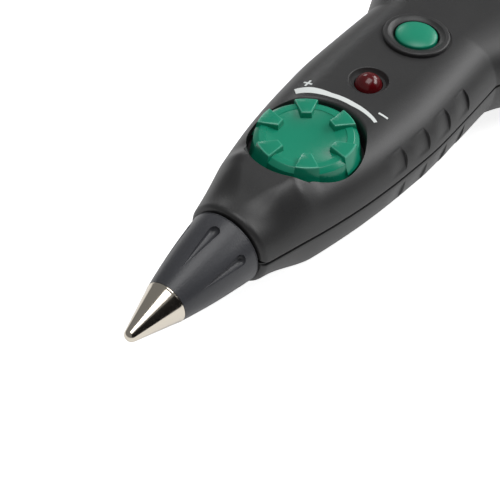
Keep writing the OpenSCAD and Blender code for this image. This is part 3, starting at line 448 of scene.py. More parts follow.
# ABS from a finer spark-eroded mould: greyer, so that the cone stands out from the shells
nose_abs = moulded("nose_abs", "38393d", "3e3f43", 0.36, grain_mm=0.3, grain_h=0.03)
# Green ABS from a polished mould: even colour under a clear soft shine
knob_abs = moulded("knob_abs", "0c8668", "108c6d", 0.28, grain_mm=0.4, grain_h=0.006)
# The same green ABS with a painted highlight: a lighter green on the knob's upward-leaning chamfers and bevel
# stands in for the top lamp's reflection, and it is a touch shinier
knob_painted_highlight = moulded("knob_painted_highlight", "4aa88c", "3f9e82", 0.24, grain_mm=0.4, grain_h=0.004)
# Green ABS of the button, moulded satin: a wide dull shine on its crown
button_abs = moulded("button_abs", "0f8a6b", "129070", 0.34, grain_mm=0.4, grain_h=0.004)
# Glass-filled nylon, moulded: dull black that hardly shines
black_nylon = moulded("black_nylon", "1d1d1e", "232324", 0.5)
# Cut foam rubber: open pores that swallow the light
foam_rubber = moulded("foam_rubber", "27272a", "343438", 0.9, grain_mm=0.6, grain_h=0.15)
# Pressed polypropylene film of the speaker cone: a soft sheen over fine ripples
cone_film = moulded("cone_film", "26272a", "2e2f32", 0.35, grain_mm=1.2, grain_h=0.03)
# Extruded PVC of the leads: plain colour with a smooth waxy shine
pvc_red = moulded("pvc_red", "b01a16", "a51512", 0.4, grain_mm=0.8)
pvc_black = moulded("pvc_black", "1b1b1b", "222222", 0.4, grain_mm=0.8)
# Bright nickel plate over turned brass: sharp light and dark streaks, slightly warm
nickel_plate = metal("nickel_plate", "e0d8ca", 0.13, line_mm=0.375, line_h=0.001)
# Zinc plate over pressed steel: a cool grey blurred shine
steel_zinc = metal("zinc_plated_steel", "c4c6c9", 0.28)
# Tinned brass, dipped: pale, warm and half bright
tinned = metal("tinned_brass", "d2cdbd", 0.3)
# Ground steel of the magnet: darker, with a dull shine
magnet_steel = metal("magnet_steel", "8d8f93", 0.35)
# Shrunk PVC sleeve of a capacitor: dark blue with its grey stripe
can_sleeve = banded("can_sleeve", "14213d", "9aa3b0", 3.0, 1, 0.2, 0.35)
# Dipped lacquer of a resistor: tan with brown rings
resistor_lacquer = banded("resistor_lacquer", "b99a68", "6b2a17", 1.0, 1, 0.3, 0.35)
# Printed film round the battery: black with a copper-coloured end
battery_film = banded("battery_film", "1c1c1e", "a8763a", 40.0, 0, 0.42, 0.3)

track_pitch = 2.54
track_w = 0.18
track_h = 0.03
dye_mm = 2
cover_mm = 0.8


def solder_mask():
    """Green lacquer printed over copper: tracks at the usual pitch show a little lighter and raised."""
    material, tree, place = started("solder_mask")
    tracks = add(tree, "TexBrick", {"offset": 0.5}, Vector=place, Scale=1.0, Mortar_Size=track_w,
                 Mortar_Smooth=0.2, Brick_Width=2 * track_pitch, Row_Height=track_pitch,
                 Color1=hexed("14532b"), Color2=hexed("175a2f"), Mortar=hexed("2a7a45"))
    bump = add(tree, "Bump", None, Height=tracks.outputs["Fac"], Strength=0.6, Distance=track_h * MM)
    return closed(material, tree, add(tree, "BsdfPrincipled", None, Base_Color=tracks.outputs["Color"],
                                      Roughness=0.28, Normal=bump.outputs[0], IOR=plastic_ior))


def lamp_epoxy():
    """Epoxy dyed dark red, cast in a polished mould: deep, faintly cloudy, with small bright lights on it."""
    material, tree, place = started("lamp_epoxy")
    dye = add(tree, "TexNoise", None, Vector=place, Scale=1 / dye_mm, Detail=1.0).outputs["Fac"]
    tint = add(tree, "Mix", {"data_type": "RGBA"}, i0=dye, i6=hexed("460409"), i7=hexed("640a11")).outputs[2]
    return closed(material, tree, add(tree, "BsdfPrincipled", None, Base_Color=tint, Roughness=0.18,
                                      IOR=epoxy_ior))


def printed_ink():
    """White pad-printed ink: matt, with a faintly uneven cover that is drawn coarser than the real one."""
    material, tree, place = started("printed_ink")
    cover = add(tree, "TexNoise", None, Vector=place, Scale=1 / cover_mm, Detail=2.0).outputs["Fac"]
    tint = add(tree, "Mix", {"data_type": "RGBA"}, i0=cover, i6=hexed("e6eae8"), i7=hexed("dde2e0"))
    return closed(material, tree, add(tree, "BsdfPrincipled", None, Base_Color=tint.outputs[2],
                                      Roughness=0.55, IOR=plastic_ior))


board_mask = solder_mask()
lamp_red = lamp_epoxy()
white_ink = printed_ink()

node_finishes = {
    "solder_tag": tinned, "tip_nut": steel_zinc, "tip_lead": pvc_red, "main_board": board_mask,
    "board_screws": steel_zinc, "volume_pot": steel_zinc, "pot_shaft": steel_zinc, "led_spacer": black_nylon,
    "led_leads": tinned, "switch_body": black_nylon, "switch_plunger": black_nylon,
    "amplifier_chip": black_nylon, "chip_legs": tinned, "capacitors": can_sleeve,
    "resistors": resistor_lacquer, "speaker_gasket": foam_rubber, "speaker_frame": steel_zinc,
    "speaker_cone": cone_film, "speaker_magnet": magnet_steel, "speaker_leads": pvc_red,
    "headphone_jack": black_nylon, "battery": battery_film, "battery_terminals": tinned,
    "battery_snap": black_nylon, "battery_leads": pvc_black, "battery_pad": foam_rubber,
    "case_screws": steel_zinc,
}
for node_name, finish in node_finishes.items():
    node_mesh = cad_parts[node_name].data
    node_mesh.materials.clear()
    node_mesh.materials.append(finish)


# Parting groove and side grips of the upper shell
groove_d = 0.45
groove_h = 0.12
low_groove_h = 0.45
groove_lip_in = 0.06
groove_lip_h = 0.05
skin_gap = 0.22
low_skin_gap = 0.2
corner_r = 1.3
corner_rise_share = 0.9
start_limit = 0.9
scallop_n = 4
scallop_first_x = waist_x - 10.1
scallop_pitch = 7.05
scallop_l = 5.2
scallop_d = 0.45
scallop_step = 0.12
scallop_bow = 1.1
scallop_mid_z = 4.1
scallop_bow_z = 2.7
bow_reach = 30
bow_fade = 6
bow_limit = 1.1
# The far side's grips sit lower, under the outline that the camera sees
near_mid_a = 25.5
near_half_a = 14
far_mid_a = 12
far_half_a = 11

# Rows of the shells' grids
lip_rows = 9
lip_gap = 0.3
tail_rows = 40
head_step = 0.35
hand_step = 1.2
upper_rows = 56
low_rows = 60
flat_rows = 20
snap = 1e-3


def tail_stations(rows):
    """Places over the rounded tail, closer together towards its end: the tail's length times sin t."""
    return tail_x - tail_round_l * (1 - quarter(rows)[0])


def stations():
    """Places along the probe: close together in the head, with a pair at each grip's step."""
    lip = front_x + ring_lip_r * (1 - quarter(lip_rows)[1])
    head = np.arange(front_x + ring_lip_r + lip_gap, waist_x + over, head_step)
    hand = np.arange(waist_x + over, tail_x - tail_round_l, hand_step)
    steps = scallop_first_x - scallop_pitch * np.arange(scallop_n)
    return np.unique(np.round(np.concatenate([lip, head, hand, tail_stations(tail_rows), steps,
                                              steps + scallop_step]), 4))


def grip_depth(s, a, first_x, count, pitch, length):
    """Share of a grip's depth: from 0 it eases to 1 over its length towards the tail, then steps back."""
    depth = np.zeros_like(s + a)
    for k in range(count):
        end = first_x - k * pitch
        along = (s + 0 * a - end + length) / length
        depth += np.where((along >= 0) & (s <= end + snap), ease(along), 0)
    return depth


def scallops(s, a, mid_a, half_a):
    """Depth of the upper grips, faded over their angle as a half ellipse."""
    fade = np.maximum(1 - ((np.degrees(a) - mid_a) / half_a) ** 2, 0) ** 0.5
    return scallop_d * fade * grip_depth(s, a, scallop_first_x, scallop_n, scallop_pitch, scallop_l)


def bowed(s, z):
    """Stations bent into arcs through the grips' height, so that each step follows a line of the grid."""
    past = s - scallop_first_x
    window = ease((past + bow_reach) / bow_fade) * ease((bow_fade - past) / bow_fade)
    return s - scallop_bow * np.clip((z - scallop_mid_z) / scallop_bow_z, -bow_limit, 1) ** 2 * window


# Ridge in front of the knob
hump_h = 1.8
hump_start_x = front_x + 2
hump_full_x = knob_x - 14.2
hump_fall_x = knob_x - 11.6
hump_back = 6.5
hump_flat = 4
hump_bow_share = 0.45


def hump(x, w):
    """Rise of the face in front of the knob: a smooth step up from the ring and one down beside the recess.

    Both come earlier by a share of the distance w from the middle, so that the ridge bows round the knob."""
    x = x + hump_bow_share * np.maximum(w - hump_flat, 0)
    up = ease((x - hump_start_x) / (hump_full_x - hump_start_x))
    return hump_h * up * (1 - ease((x - hump_fall_x) / hump_back))


def across(far, near, middle):
    """Rows from the far side over the flat middle to the near side."""
    return np.concatenate([far, middle, near[:, ::-1]], 1)


def side_rows(edge_w, edge_z, w, z, a, depth):
    """Rows of one side: those of the groove, then the skin's, pressed in by the grips' depth."""
    all_w = np.concatenate([edge_w, w - depth * np.cos(a)], 1)
    return all_w, np.concatenate([edge_z, z - depth * np.sin(a)], 1)


def upper_outer():
    """Outer half above the parting line: groove rows, shoulder, flat top, and the same on the near side.

    The shoulder is the section's formula. The groove's rows stand in by its depth and rise at the front."""
    s = stations()[:, None]
    share = np.linspace(0, 1, upper_rows)[None, :]
    d = np.clip(s - front_x, 0, corner_r)
    rise = (corner_r - np.sqrt(corner_r**2 - (corner_r - d) ** 2)) * corner_rise_share
    start = np.arcsin(np.clip((rise + groove_h + skin_gap) / top_h(s), 0, start_limit))
    a = mix(start, pi / 2, share)
    x = bowed(s, section(s + 0 * a, a, 0, True)[1])
    w, z = section(x, a, 0, True)
    z = z + hump(x, w) * np.sin(a) ** 3
    x0 = x[:, :1]
    edge_w = half_w(x0) - np.array([groove_d, groove_d, groove_lip_in])
    edge_z = rise + np.array([0, groove_h, groove_h + groove_lip_h])
    near_w, near_z = side_rows(edge_w, edge_z, w, z, a, scallops(s, a, near_mid_a, near_half_a))
    far_w, far_z = side_rows(edge_w, edge_z, w, z, a, scallops(s, a, far_mid_a, far_half_a))
    side_x = np.concatenate([x0, x0, x0, x], 1)
    flat_w = w[:, -1:] * np.linspace(1, -1, flat_rows)[None, 1:-1]
    all_w = across(far_w, -near_w, flat_w)
    all_z = across(far_z, near_z, z[:, -1:] + 0 * flat_w)
    all_x = across(side_x, side_x, x[:, -1:] + 0 * flat_w)
    return loft("upper_shell_skin", np.stack([all_x, all_w, axis_z + all_z], -1))


def half_outline(x, q, up, count, extra):
    """Closed outline of an inner hollow's half at each station, reaching past the parting line by extra."""
    a = np.linspace(0, pi / 2, count)[None, :]
    w, z = section(x[:, None] + 0 * a, a, q, up)
    w = np.concatenate([w[:, :1], w], 1)
    z = np.concatenate([z[:, :1] - extra, z], 1)
    sign = 1 if up else -1
    xs = np.broadcast_to(x[:, None], w.shape)
    side = np.stack([xs, w, axis_z + sign * z], -1)
    other = np.stack([xs, -w, axis_z + sign * z], -1)[:, ::-1]
    return np.concatenate([side, other], 1)


# Inner walls, screws and their bosses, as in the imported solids
hollow_x = front_x + 4.7
inner_step = 2.0
inner_tail_rows = 24
upper_hollow_rows = 18
low_hollow_rows = 22
bulkhead_x = battery_x0 - 5.3
bulk_t = 1.3
boss_r = 3.2
low_boss_r = 4.3
boss_foot = 0.5
screw_r = 1.25
screw_l = 12
screw_end_r = 0.4
screw_end_l = 0.5
head_r = 2.4
head_t = 1.8
head_round = 0.6
seat_z = axis_z - 7.4
cross_l = 2.6
cross_w = 0.6
pilot_gap = 0.05
pilot_h = 4.9
bore_r = 6.0
rib_t = 1.4
rib_shares = (0.25, 0.75)
rib_z = 22.5
stop_t = 1.4
stop_w = 26.5
stop_drop = 2
waist_boss = (waist_x + 4, waist_w / 2 - wall - boss_r + screw_r)
hand_boss = (bulkhead_x + bulk_t / 2 - low_boss_r, handle_w / 2 - wall - low_boss_r)
boss_places = [(x, s * y) for x, y in (waist_boss, hand_boss) for s in (-1, 1)]


def inner_stations():
    """Places of the hollow's outlines."""
    main = np.arange(hollow_x, tail_x - tail_round_l - wall - over, inner_step)
    return np.concatenate([main, tail_stations(inner_tail_rows) - wall])


# Recess of the knob, with its rounded lip
recess_r = 11.1
recess_lip_r = 0.8
recess_d = 5
recess_flare = 1
recess_reach = 3
recess_sides = 160
knob_floor = face_z - recess_d
cup_t = 1.6
shaft_hole_r = 3.3


def recess_tool():
    """Turned cutter: flat floor, straight wall, a quarter round out to the face, and a flare above it."""
    s, c = quarter(arc_rows)
    lip = np.column_stack([recess_d - recess_lip_r * (1 - s), recess_r + recess_lip_r * (1 - c)])
    top = recess_d + recess_reach
    flare = [[top, recess_r + recess_lip_r + recess_flare], [top, 0]]
    profile = np.concatenate([[[0, 0], [0, recess_r]], lip, flare])
    return lathe("recess_tool", profile, "z", (knob_x, 0, knob_floor), recess_sides)


# Lamp and its countersunk dish
led_x = middle_x("led_lamp") + 0.9
led_r = 2.72
led_lift = 0.22
led_foot = mm_box("led_lamp")[0][2]
led_top = mm_box("led_lamp")[1][2]
led_flange_h = 1
led_flange_w = 0.4
led_gap = 0.1
led_dish_r = 4.05
led_dish_d = 0.9
led_slope_w = 0.6
led_lip_r = 0.25
led_bore_d = 4
led_reach = 2


def lamp_tool():
    """Turned cutter: bore of the lamp, a slope and a small round out to the face."""
    s, c = quarter(edge_rows)
    lip = np.column_stack([-led_lip_r * (1 - s), led_dish_r - led_lip_r * c])
    bore = led_r + led_gap
    low = [[-led_bore_d, 0], [-led_bore_d, bore], [-led_dish_d, bore], [-led_dish_d, led_r + led_slope_w]]
    profile = np.concatenate([low, lip, [[led_reach, led_dish_r], [led_reach, 0]]])
    return lathe("lamp_tool", profile, "z", (led_x, 0, face_z))


# Button and the raised oval collar round it
button_l = 7.8
button_w = 8.5
button_gap = 0.45
button_dome = 0.9
button_flange = 0.9
button_flange_t = 1
stem_w = 4
crown_rows = 22
collar_l = 12.5
collar_w = 13.6
collar_h = 0.8
collar_round = 0.4
collar_lip_w = 0.95
collar_flare = 0.3
collar_reach = 0.5
moat_w = 0.35
moat_d = 0.16
dish_fall = 0.5
dish_exp = 1.6
dish_foot = 0.25
dish_rings = 9
button_bore_d = 4
collar_top = face_z + collar_h
oval_sides = 128


def oval(length, width, z, grow=0):
    """Ring of points about the button's axis: an ellipse with both half axes grown by grow."""
    t = np.arange(oval_sides) * 2 * pi / oval_sides
    return raised(np.column_stack([button_x + (length / 2 + grow) * np.cos(t),
                                   (width / 2 + grow) * np.sin(t)]), z)


def collar_body():
    """Oval wall with a quarter round at its top edge."""
    rings = [oval(collar_l, collar_w, face_z - over)]
    for s, c in zip(*quarter(edge_rows)):
        rings.append(oval(collar_l, collar_w, collar_top - collar_round * (1 - s), -collar_round * (1 - c)))
    return loft("collar_body", rings)


def moat_tool():
    """Shallow oval groove round the foot of the collar."""
    return loft("moat_tool", [oval(collar_l, collar_w, face_z - moat_d, moat_w),
                              oval(collar_l, collar_w, face_z + over, moat_w)])


def collar_tool():
    """Dish inside the collar: a curved fall u^1.6 from the lip to the button's gap, then the gap itself."""
    reach_l = (collar_l - button_l) / 2 - button_gap - collar_lip_w
    reach_w = (collar_w - button_w) / 2 - button_gap - collar_lip_w
    rings = [oval(button_l, button_w, face_z - button_bore_d, button_gap),
             oval(button_l, button_w, collar_top - dish_fall - dish_foot, button_gap)]
    for u in np.linspace(0, 1, dish_rings):
        z = collar_top - dish_fall * (1 - u**dish_exp)
        rings.append(oval(button_l + 2 * reach_l * u, button_w + 2 * reach_w * u, z, button_gap))
    rings.append(oval(button_l + 2 * reach_l + collar_flare, button_w + 2 * reach_w + collar_flare,
                      collar_top + collar_reach, button_gap))
    return loft("collar_tool", rings)


# Speaker grille
speaker_x = middle_x("speaker_gasket")
speaker_r = mm_box("speaker_gasket")[1][1]
speaker_seat = mm_box("speaker_gasket")[1][2]
speaker_ring_w = 2.4
grille_n = 7
grille_reach = (speaker_r - speaker_ring_w) * 0.8
grille_slot_w = 1.6
grille_spread_share = 0.97
# Height over the skin and growth of a slot's outline, so that its edge looks rounded
grille_edge = [(-0.35, 0), (-0.12, 0.07), (0.05, 0.28), (2, 0.3)]


def slot_outline(cx, cy, half, r, sides=12):
    """Outline of a slot with round ends, half long each way from its middle."""
    t = np.linspace(-pi / 2, pi / 2, sides)
    right = np.column_stack([cx + half + r * np.cos(t), cy + r * np.sin(t)])
    left = np.column_stack([cx - half - r * np.cos(t), cy - r * np.sin(t)])
    return np.concatenate([right, left])


def face_height(x, y):
    """Height of the outer face at a place near its middle: its top height times sqrt(1 - lean^2)."""
    width = half_w(x)
    f = width * top_flat_share * curve(flat_shares, head_share(x))
    lean = np.maximum(np.abs(y) - f, 0) / (width - f)
    return axis_z + top_h(x) * np.sqrt(1 - lean**2)


def grille_tools():
    """One flared cutter a slot: straight, then wider over the last part."""
    tools = []
    for i in range(grille_n):
        y = (2 * i / (grille_n - 1) - 1) * grille_reach * grille_spread_share
        half = sqrt(max(grille_reach**2 - y**2, grille_slot_w**2))
        skin = float(face_height(np.array([speaker_x]), y)[0])
        levels = [(speaker_seat - over, 0)] + [(skin + rise, grow) for rise, grow in grille_edge]
        rings = [raised(slot_outline(speaker_x, y, half, grille_slot_w / 2 + grow), z) for z, grow in levels]
        tools.append(loft("grille_tool", rings))
    return tools


def front_bore():
    """Round bore from the front ring into the hollow."""
    return lathe("bore", [[front_x - over, 0], [front_x - over, bore_r], [hollow_x + over, bore_r],
                          [hollow_x + over, 0]], "x", (0, 0, axis_z))


def rib_block(x, low, high):
    """Cross rib at a place along the probe."""
    return block("rib", (x - rib_t / 2, -handle_w / 2, low), (x + rib_t / 2, handle_w / 2, high))


def build_upper():
    """Skin, collar and cuts of the upper shell, with the hollow that its inner walls stand in."""
    roof = axis_z + crown_h
    hollow = loft("upper_hollow", half_outline(inner_stations(), wall, True, upper_hollow_rows, over))
    cup = prism("cup", disc((knob_x, 0), recess_r + cup_t, fine_sides), knob_floor - cup_t, face_z)
    ring_in, ring_out = speaker_r - speaker_ring_w, speaker_r + seat_gap
    ring = [[speaker_seat, ring_in], [speaker_seat, ring_out], [roof, ring_out], [roof, ring_in]]
    seat = lathe("seat", ring, "z", (speaker_x, 0, 0))
    bosses = [prism("boss", disc(p, boss_r), axis_z - boss_foot, roof) for p in boss_places]
    ribs = [rib_block(mix(battery_x0, battery_x1, k), rib_z, roof + over) for k in rib_shares]
    stop_x = battery_x1 + seat_gap
    stop = block("stop", (stop_x, -stop_w / 2, axis_z - stop_drop),
                 (stop_x + stop_t, stop_w / 2, roof + over))
    carve(hollow, cup, seat, *bosses, *ribs, stop)
    shell = upper_outer()
    carve(shell, moat_tool())
    joined(shell, collar_body())
    carve(shell, hollow, front_bore(), recess_tool(), lamp_tool(), collar_tool(), *grille_tools())
    shaft_hole = prism("shaft_hole", disc((knob_x, 0), shaft_hole_r, fine_sides), knob_floor - cup_t - over,
                       knob_floor + over)
    pilots = [prism("pilot", disc(p, screw_r + pilot_gap, hole_sides), axis_z - over, axis_z + pilot_h)
              for p in boss_places]
    carve(shell, shaft_hole, *pilots)
    finish_piece(shell, "upper_shell_skin", "housing", shell_abs, ["upper_shell"])


# Lower shell and battery door
notch_n = 4
notch_first_x = waist_x - 12.2
notch_pitch = 6.7
notch_l = 5.6
notch_d = 0.36
notch_step = 0.14
notch_mid_a = 24
notch_half_a = 20


def low_outer():
    """Points of the outer half below the parting line: groove rows, then the section with its notches."""
    steps = notch_first_x - notch_pitch * np.arange(notch_n)
    s = np.unique(np.round(np.concatenate([stations(), steps, steps + notch_step]), 4))[:, None]
    share = np.linspace(0, 1, low_rows)[None, :]
    a = mix(np.arcsin((low_groove_h + low_skin_gap) / low_h(s)), pi / 2, share)
    w, z = section(s + 0 * a, a, 0, False)
    fade = np.maximum(1 - ((np.degrees(a) - notch_mid_a) / notch_half_a) ** 2, 0)
    depth = notch_d * fade * grip_depth(s, a, notch_first_x, notch_n, notch_pitch, notch_l)
    edge_w = half_w(s) - np.array([groove_d, groove_d, groove_lip_in])
    edge_z = 0 * s + np.array([0, low_groove_h, low_groove_h + groove_lip_h])
    w, z = side_rows(edge_w, edge_z, w, z, a, depth)
    flat_w = w[:, -1:] * np.linspace(1, -1, flat_rows)[None, 1:-1]
    all_w = across(w, -w, flat_w)
    all_z = across(z, z, z[:, -1:] + 0 * flat_w)
    return np.stack([s + 0 * all_w, all_w, axis_z - all_z], -1)


door_w = 28.4
door_t = 2.2
door_gap = 0.3
door_rise = 8.2
door_lead = 5
tongue_w = 1.2
tongue_low = 1.0
bay_x = bulkhead_x + bulk_t
bay_wall_t = 1.6
bay_half = 13.65
guide_low = tongue_low - door_gap + 0.05
guide_top = door_t + door_gap
rail_t = 1.6
rail_half = door_w / 2 + tongue_w + door_gap + rail_t
way_tail_x = tail_x - tail_lift_l - wall
door_x0 = bay_x + door_gap
grip_n = 5
grip_pitch = 2.4
grip_back = 18
grip_r = 0.5
grip_sides = 24
post_r = 2.4
post_in = 2
low_rib_shares = (0.14, 0.55)
# Widened mouth and straight wall of a screw seat, and what the hole leaves round the screw
mouth_r = 2.9
mouth_d = 0.45
mouth_slope = 0.3
seat_r = 2.7
screw_gap = 0.1
lead_slot_w = 4
lead_slot_d = 3
# Hole of the headphone socket: its bore, and a countersink from just outside the socket's face
jack_bore_r = 2.8
jack_mouth_r = 3.3
jack_face = 0.25
jack_slope = 0.5
jack_reach = 4
jack_sides = 64


def low_hollow():
    """Hollow of the lower shell."""
    return loft("lower_hollow", half_outline(inner_stations(), wall, False, low_hollow_rows, over))


def screw_seat(x, y):
    """Turned cutter from below: a widened mouth, a slope and the straight wall up to the head's seat."""
    profile = [[-over, 0], [-over, mouth_r], [mouth_d, mouth_r], [mouth_d + mouth_slope, seat_r],
               [seat_z, seat_r], [seat_z, 0]]
    return lathe("seat", profile, "z", (x, y, 0), plain_sides)


def jack_hole():
    """Bore and countersink of the headphone socket, turned about X and then swung to the side."""
    low, high = mm_box("headphone_jack")
    face = high[1] + jack_face
    start, end = high[1] - jack_reach, high[1] + jack_reach
    hole = lathe("jack_hole", [[start, 0], [start, jack_bore_r], [face, jack_bore_r],
                               [face + jack_slope, jack_mouth_r], [end, jack_mouth_r], [end, 0]], "x",
                 sides=jack_sides)
    place = Vector((middle_x("headphone_jack"), 0, (low[2] + high[2]) / 2)) * MM
    hole.data.transform(Matrix.Translation(place) @ Matrix.Rotation(pi / 2, 4, "Z"))
    return hole


def lower_walls():
    """Bosses, board posts, ribs, bulkhead, bay walls and rails, which the hollow leaves standing."""
    board_x0, board_x1 = (corner[0] for corner in mm_box("main_board"))
    post_x0, post_x1 = (corner[0] for corner in mm_box("board_screws"))
    board_low = mm_box("main_board")[0][2]
    rim = axis_z + 2 * over
    walls = [prism("boss", disc(p, low_boss_r), 0, rim) for p in boss_places]
    for x in (post_x0 + post_in, post_x1 - post_in):
        walls.append(prism("post", disc((x, 0), post_r), 0, board_low))
    walls += [rib_block(mix(board_x0, board_x1, k), 0, board_low) for k in low_rib_shares]
    walls.append(block("bulkhead", (bulkhead_x, -handle_w / 2, 0), (bay_x, handle_w / 2, rim)))
    for s in (-1, 1):
        y0, y1 = sorted((s * bay_half, s * (bay_half + bay_wall_t)))
        walls.append(block("bay_wall", (bulkhead_x, y0, guide_low), (battery_x1, y1, rim)))
        y0, y1 = sorted((s * bay_half, s * rail_half))
        walls.append(block("rail", (bulkhead_x, y0, guide_low), (battery_x1, y1, guide_top + rail_t)))
    return walls


def door_way():
    """Cutters of the door's opening, of the slots of its tongues, and of its way out at the tail."""
    reach = tail_x + over
    half, slot_half = door_w / 2 + door_gap, door_w / 2 + tongue_w + door_gap
    return [block("way", (bay_x, -half, -over), (reach, half, guide_top)),
            block("slots", (bay_x, -slot_half, guide_low), (reach, slot_half, guide_top)),
            block("tail_way", (way_tail_x, -half, -over), (reach, half, door_rise + door_gap))]


def build_lower():
    """Skin of the lower shell, less its hollow, door way, screw seats, socket hole and lead slot."""
    hollow = low_hollow()
    carve(hollow, *lower_walls())
    shell = loft("lower_shell_skin", low_outer())
    seats = [screw_seat(*p) for p in boss_places]
    holes = [prism("hole", disc(p, screw_r + screw_gap, hole_sides), seat_z - over, axis_z + over)
             for p in boss_places]
    carve(shell, hollow, front_bore(), *door_way(), *seats, *holes, jack_hole())
    carve(shell, block("lead_slot", (bulkhead_x - over, -lead_slot_w / 2, axis_z - lead_slot_d),
                       (bay_x + over, lead_slot_w / 2, axis_z + over)))
    finish_piece(shell, "lower_shell_skin", "housing", lower_abs, ["lower_shell"])


def build_door():
    """Sliding door: the lower skin between its gaps, with tongues and moulded thumb grips."""
    skin = low_outer()
    door = loft("battery_door_skin", skin[skin[:, 0, 0] > bulkhead_x - door_lead])
    end_x = tail_x + over
    plate = block("plate", (door_x0, -door_w / 2, -over), (end_x, door_w / 2, door_t))
    joined(plate, block("tail", (way_tail_x + door_gap, -door_w / 2, -over), (end_x, door_w / 2, door_rise)))
    carve(door, plate, how="INTERSECT")
    hollow = low_hollow()
    carve(hollow, block("floor", (0, -handle_w, -belly_h), (tail_x + over, handle_w, door_t)))
    carve(door, hollow)
    for s in (-1, 1):
        y0, y1 = sorted((s * (door_w / 2 - over), s * (door_w / 2 + tongue_w)))
        joined(door, block("tongue", (door_x0, y0, tongue_low), (tail_x - tail_lift_l - over, y1, door_t)))
    for i in range(grip_n):
        x, z = disc((tail_x - grip_back - i * grip_pitch, 0), grip_r, grip_sides).T
        ends = [np.column_stack([x, np.full(grip_sides, y), z]) for y in (-door_w / 4, door_w / 4)]
        carve(door, loft("grip", ends))
    finish_piece(door, "battery_door_skin", "door", door_abs, ["battery_door"])


build_upper()
build_lower()
build_door()

# Nose cone with its flutes, and the metal tip in front of it
nose_x = mm_box("nose_cone")[0][0]
nose_l = 16.9
ring_gap = 0.4
nose_rim_r = 7.55
nose_bulge = 0.25
nose_edge_r = 0.4
nose_rows = 60
nose_smooth = 28
spigot_r = 5.8
spigot_l = 5
stud_hole_r = 2.1
turned_sides = 192
flute_n = 6
flute_w = 2.2
flute_d = 0.95
flute_front_share = 0.225
flute_back_share = 0.785
flute_rows = 24
flute_turn = 2
tip_x0 = mm_box("probe_tip")[0][0]
tip_x1 = mm_box("probe_tip")[1][0]
tip_l = 10.7
tip_base_r = 4.29
ball_r = 1.33
ball_rows = 24
tip_rows = 20
stud_r = 2
stud_edge = 0.3
# Tiny round at the tip's base: places ahead of the base and falls below its radius
tip_edge = [(0.42, 0.12), (0.3, 0.02), (0.12, 0), (0, 0.12)]


def nose_r(u):
    """Radius of the cone at a share u of its length: a straight taper with a slight bulge."""
    return mix(tip_base_r, nose_rim_r, u) + 4 * nose_bulge * u * (1 - u)


def flute_tool(turn):
    """Slim cone laid into the skin with a ball at its deep end, turned about the probe's axis."""
    x0, x1 = nose_l * flute_front_share, nose_l * flute_back_share
    z0, z1 = nose_r(flute_front_share), nose_r(flute_back_share) - flute_d + flute_w / 2
    tilt, length = atan2(z1 - z0, x1 - x0), hypot(x1 - x0, z1 - z0)
    s, c = quarter(arc_rows)
    cone = np.column_stack([np.linspace(0, length, flute_rows), np.linspace(0, flute_w / 2, flute_rows)])
    ball = np.column_stack([length + flute_w / 2 * s, flute_w / 2 * c])[1:]
    tool = lathe("flute_tool", np.concatenate([cone, ball]), "x", sides=plain_sides)
    tool.data.transform(Matrix.Translation(Vector((nose_x, 0, axis_z)) * MM) @ Matrix.Rotation(turn, 4, "X")
                        @ Matrix.Translation(Vector((x0, 0, z0)) * MM) @ Matrix.Rotation(-tilt, 4, "Y"))
    return tool


def build_nose():
    """Turned cone with a rounded rim edge and its spigot, less the flutes."""
    u = np.linspace(0, 1 - nose_edge_r / nose_l, nose_rows)
    s, c = quarter(edge_rows)
    skin = np.column_stack([u * nose_l, nose_r(u)])
    edge = np.column_stack([nose_l - nose_edge_r * (1 - s), nose_rim_r - nose_edge_r * (1 - c)])
    end = nose_l + ring_gap + spigot_l
    spigot = [[nose_l, spigot_r], [end, spigot_r], [end, stud_hole_r]]
    profile = np.concatenate([[[0, stud_hole_r]], skin, edge, spigot])
    cone = lathe("nose_cone_skin", profile, "x", (nose_x, 0, axis_z), turned_sides)
    for i in range(flute_n):
        carve(cone, flute_tool(2 * pi * i / flute_n + radians(flute_turn)))
    finish_piece(cone, "nose_cone_skin", "housing", nose_abs, ["nose_cone"], nose_smooth)


def build_tip():
    """Turned tip: ball, straight cone that touches it, a tiny edge round, and the stud behind it."""
    lean = np.arcsin((tip_base_r - ball_r) / hypot(tip_l - ball_r, tip_base_r - ball_r))
    t = np.linspace(pi, pi / 2 + lean, ball_rows)
    ball = np.column_stack([ball_r + ball_r * np.cos(t), ball_r * np.sin(t)])
    ball[0, 1] = 0
    edge = [[tip_l - back, tip_base_r - fall] for back, fall in tip_edge]
    cone = np.linspace(ball[-1], edge[0], tip_rows)[1:]
    end = tip_x1 - tip_x0
    stud = [[tip_l, stud_r], [end - stud_edge, stud_r], [end, stud_r - stud_edge], [end, 0]]
    tip = lathe("probe_tip_skin", np.concatenate([ball, cone, edge[1:], stud]), "x", (tip_x0, 0, axis_z),
                turned_sides)
    finish_piece(tip, "probe_tip_skin", "housing", nickel_plate, ["probe_tip"])


build_nose()
build_tip()

# Knob with its dish and lugs
knob_low = mm_box("volume_knob")[0][2]
knob_top = mm_box("volume_knob")[1][2]
knob_h = knob_top - knob_low
knob_r = 10.5
knob_top_r = 9.73
knob_wall = 1.5
knob_roof = 2.9
knob_chamfer = 0.25
knob_sides = 240
knob_smooth = 26
crest_r = 8.8
crest_fall = 0.7
crest_round = 0.1
rim_w = 1.35
rim_h = 0.16
rim_slope = 0.04
dish_d = 0.95
dish_exp_knob = 2.2
dish_rows = 28
bevel_fall = 0.8
bevel_in = 0.06
bevel_out = 0.02
lug_n = 6
lug_turn = 36
lug_h = 1.1
lug_inner_r = 5.5
lug_outer_w = 4.4
lug_inner_w = 1.9
lug_top_r = 9.45
lug_foot = 3.6
lug_rows = 15
edge_r = 0.24
hub_r = 4.6
hub_bore_r = 3.05
hub_roof = 2.4
hub_sides = 64
# Leans of the faces that get the painted highlight
level_share = 0.97
bevel_lean = 0.5
lug_lean = 0.2


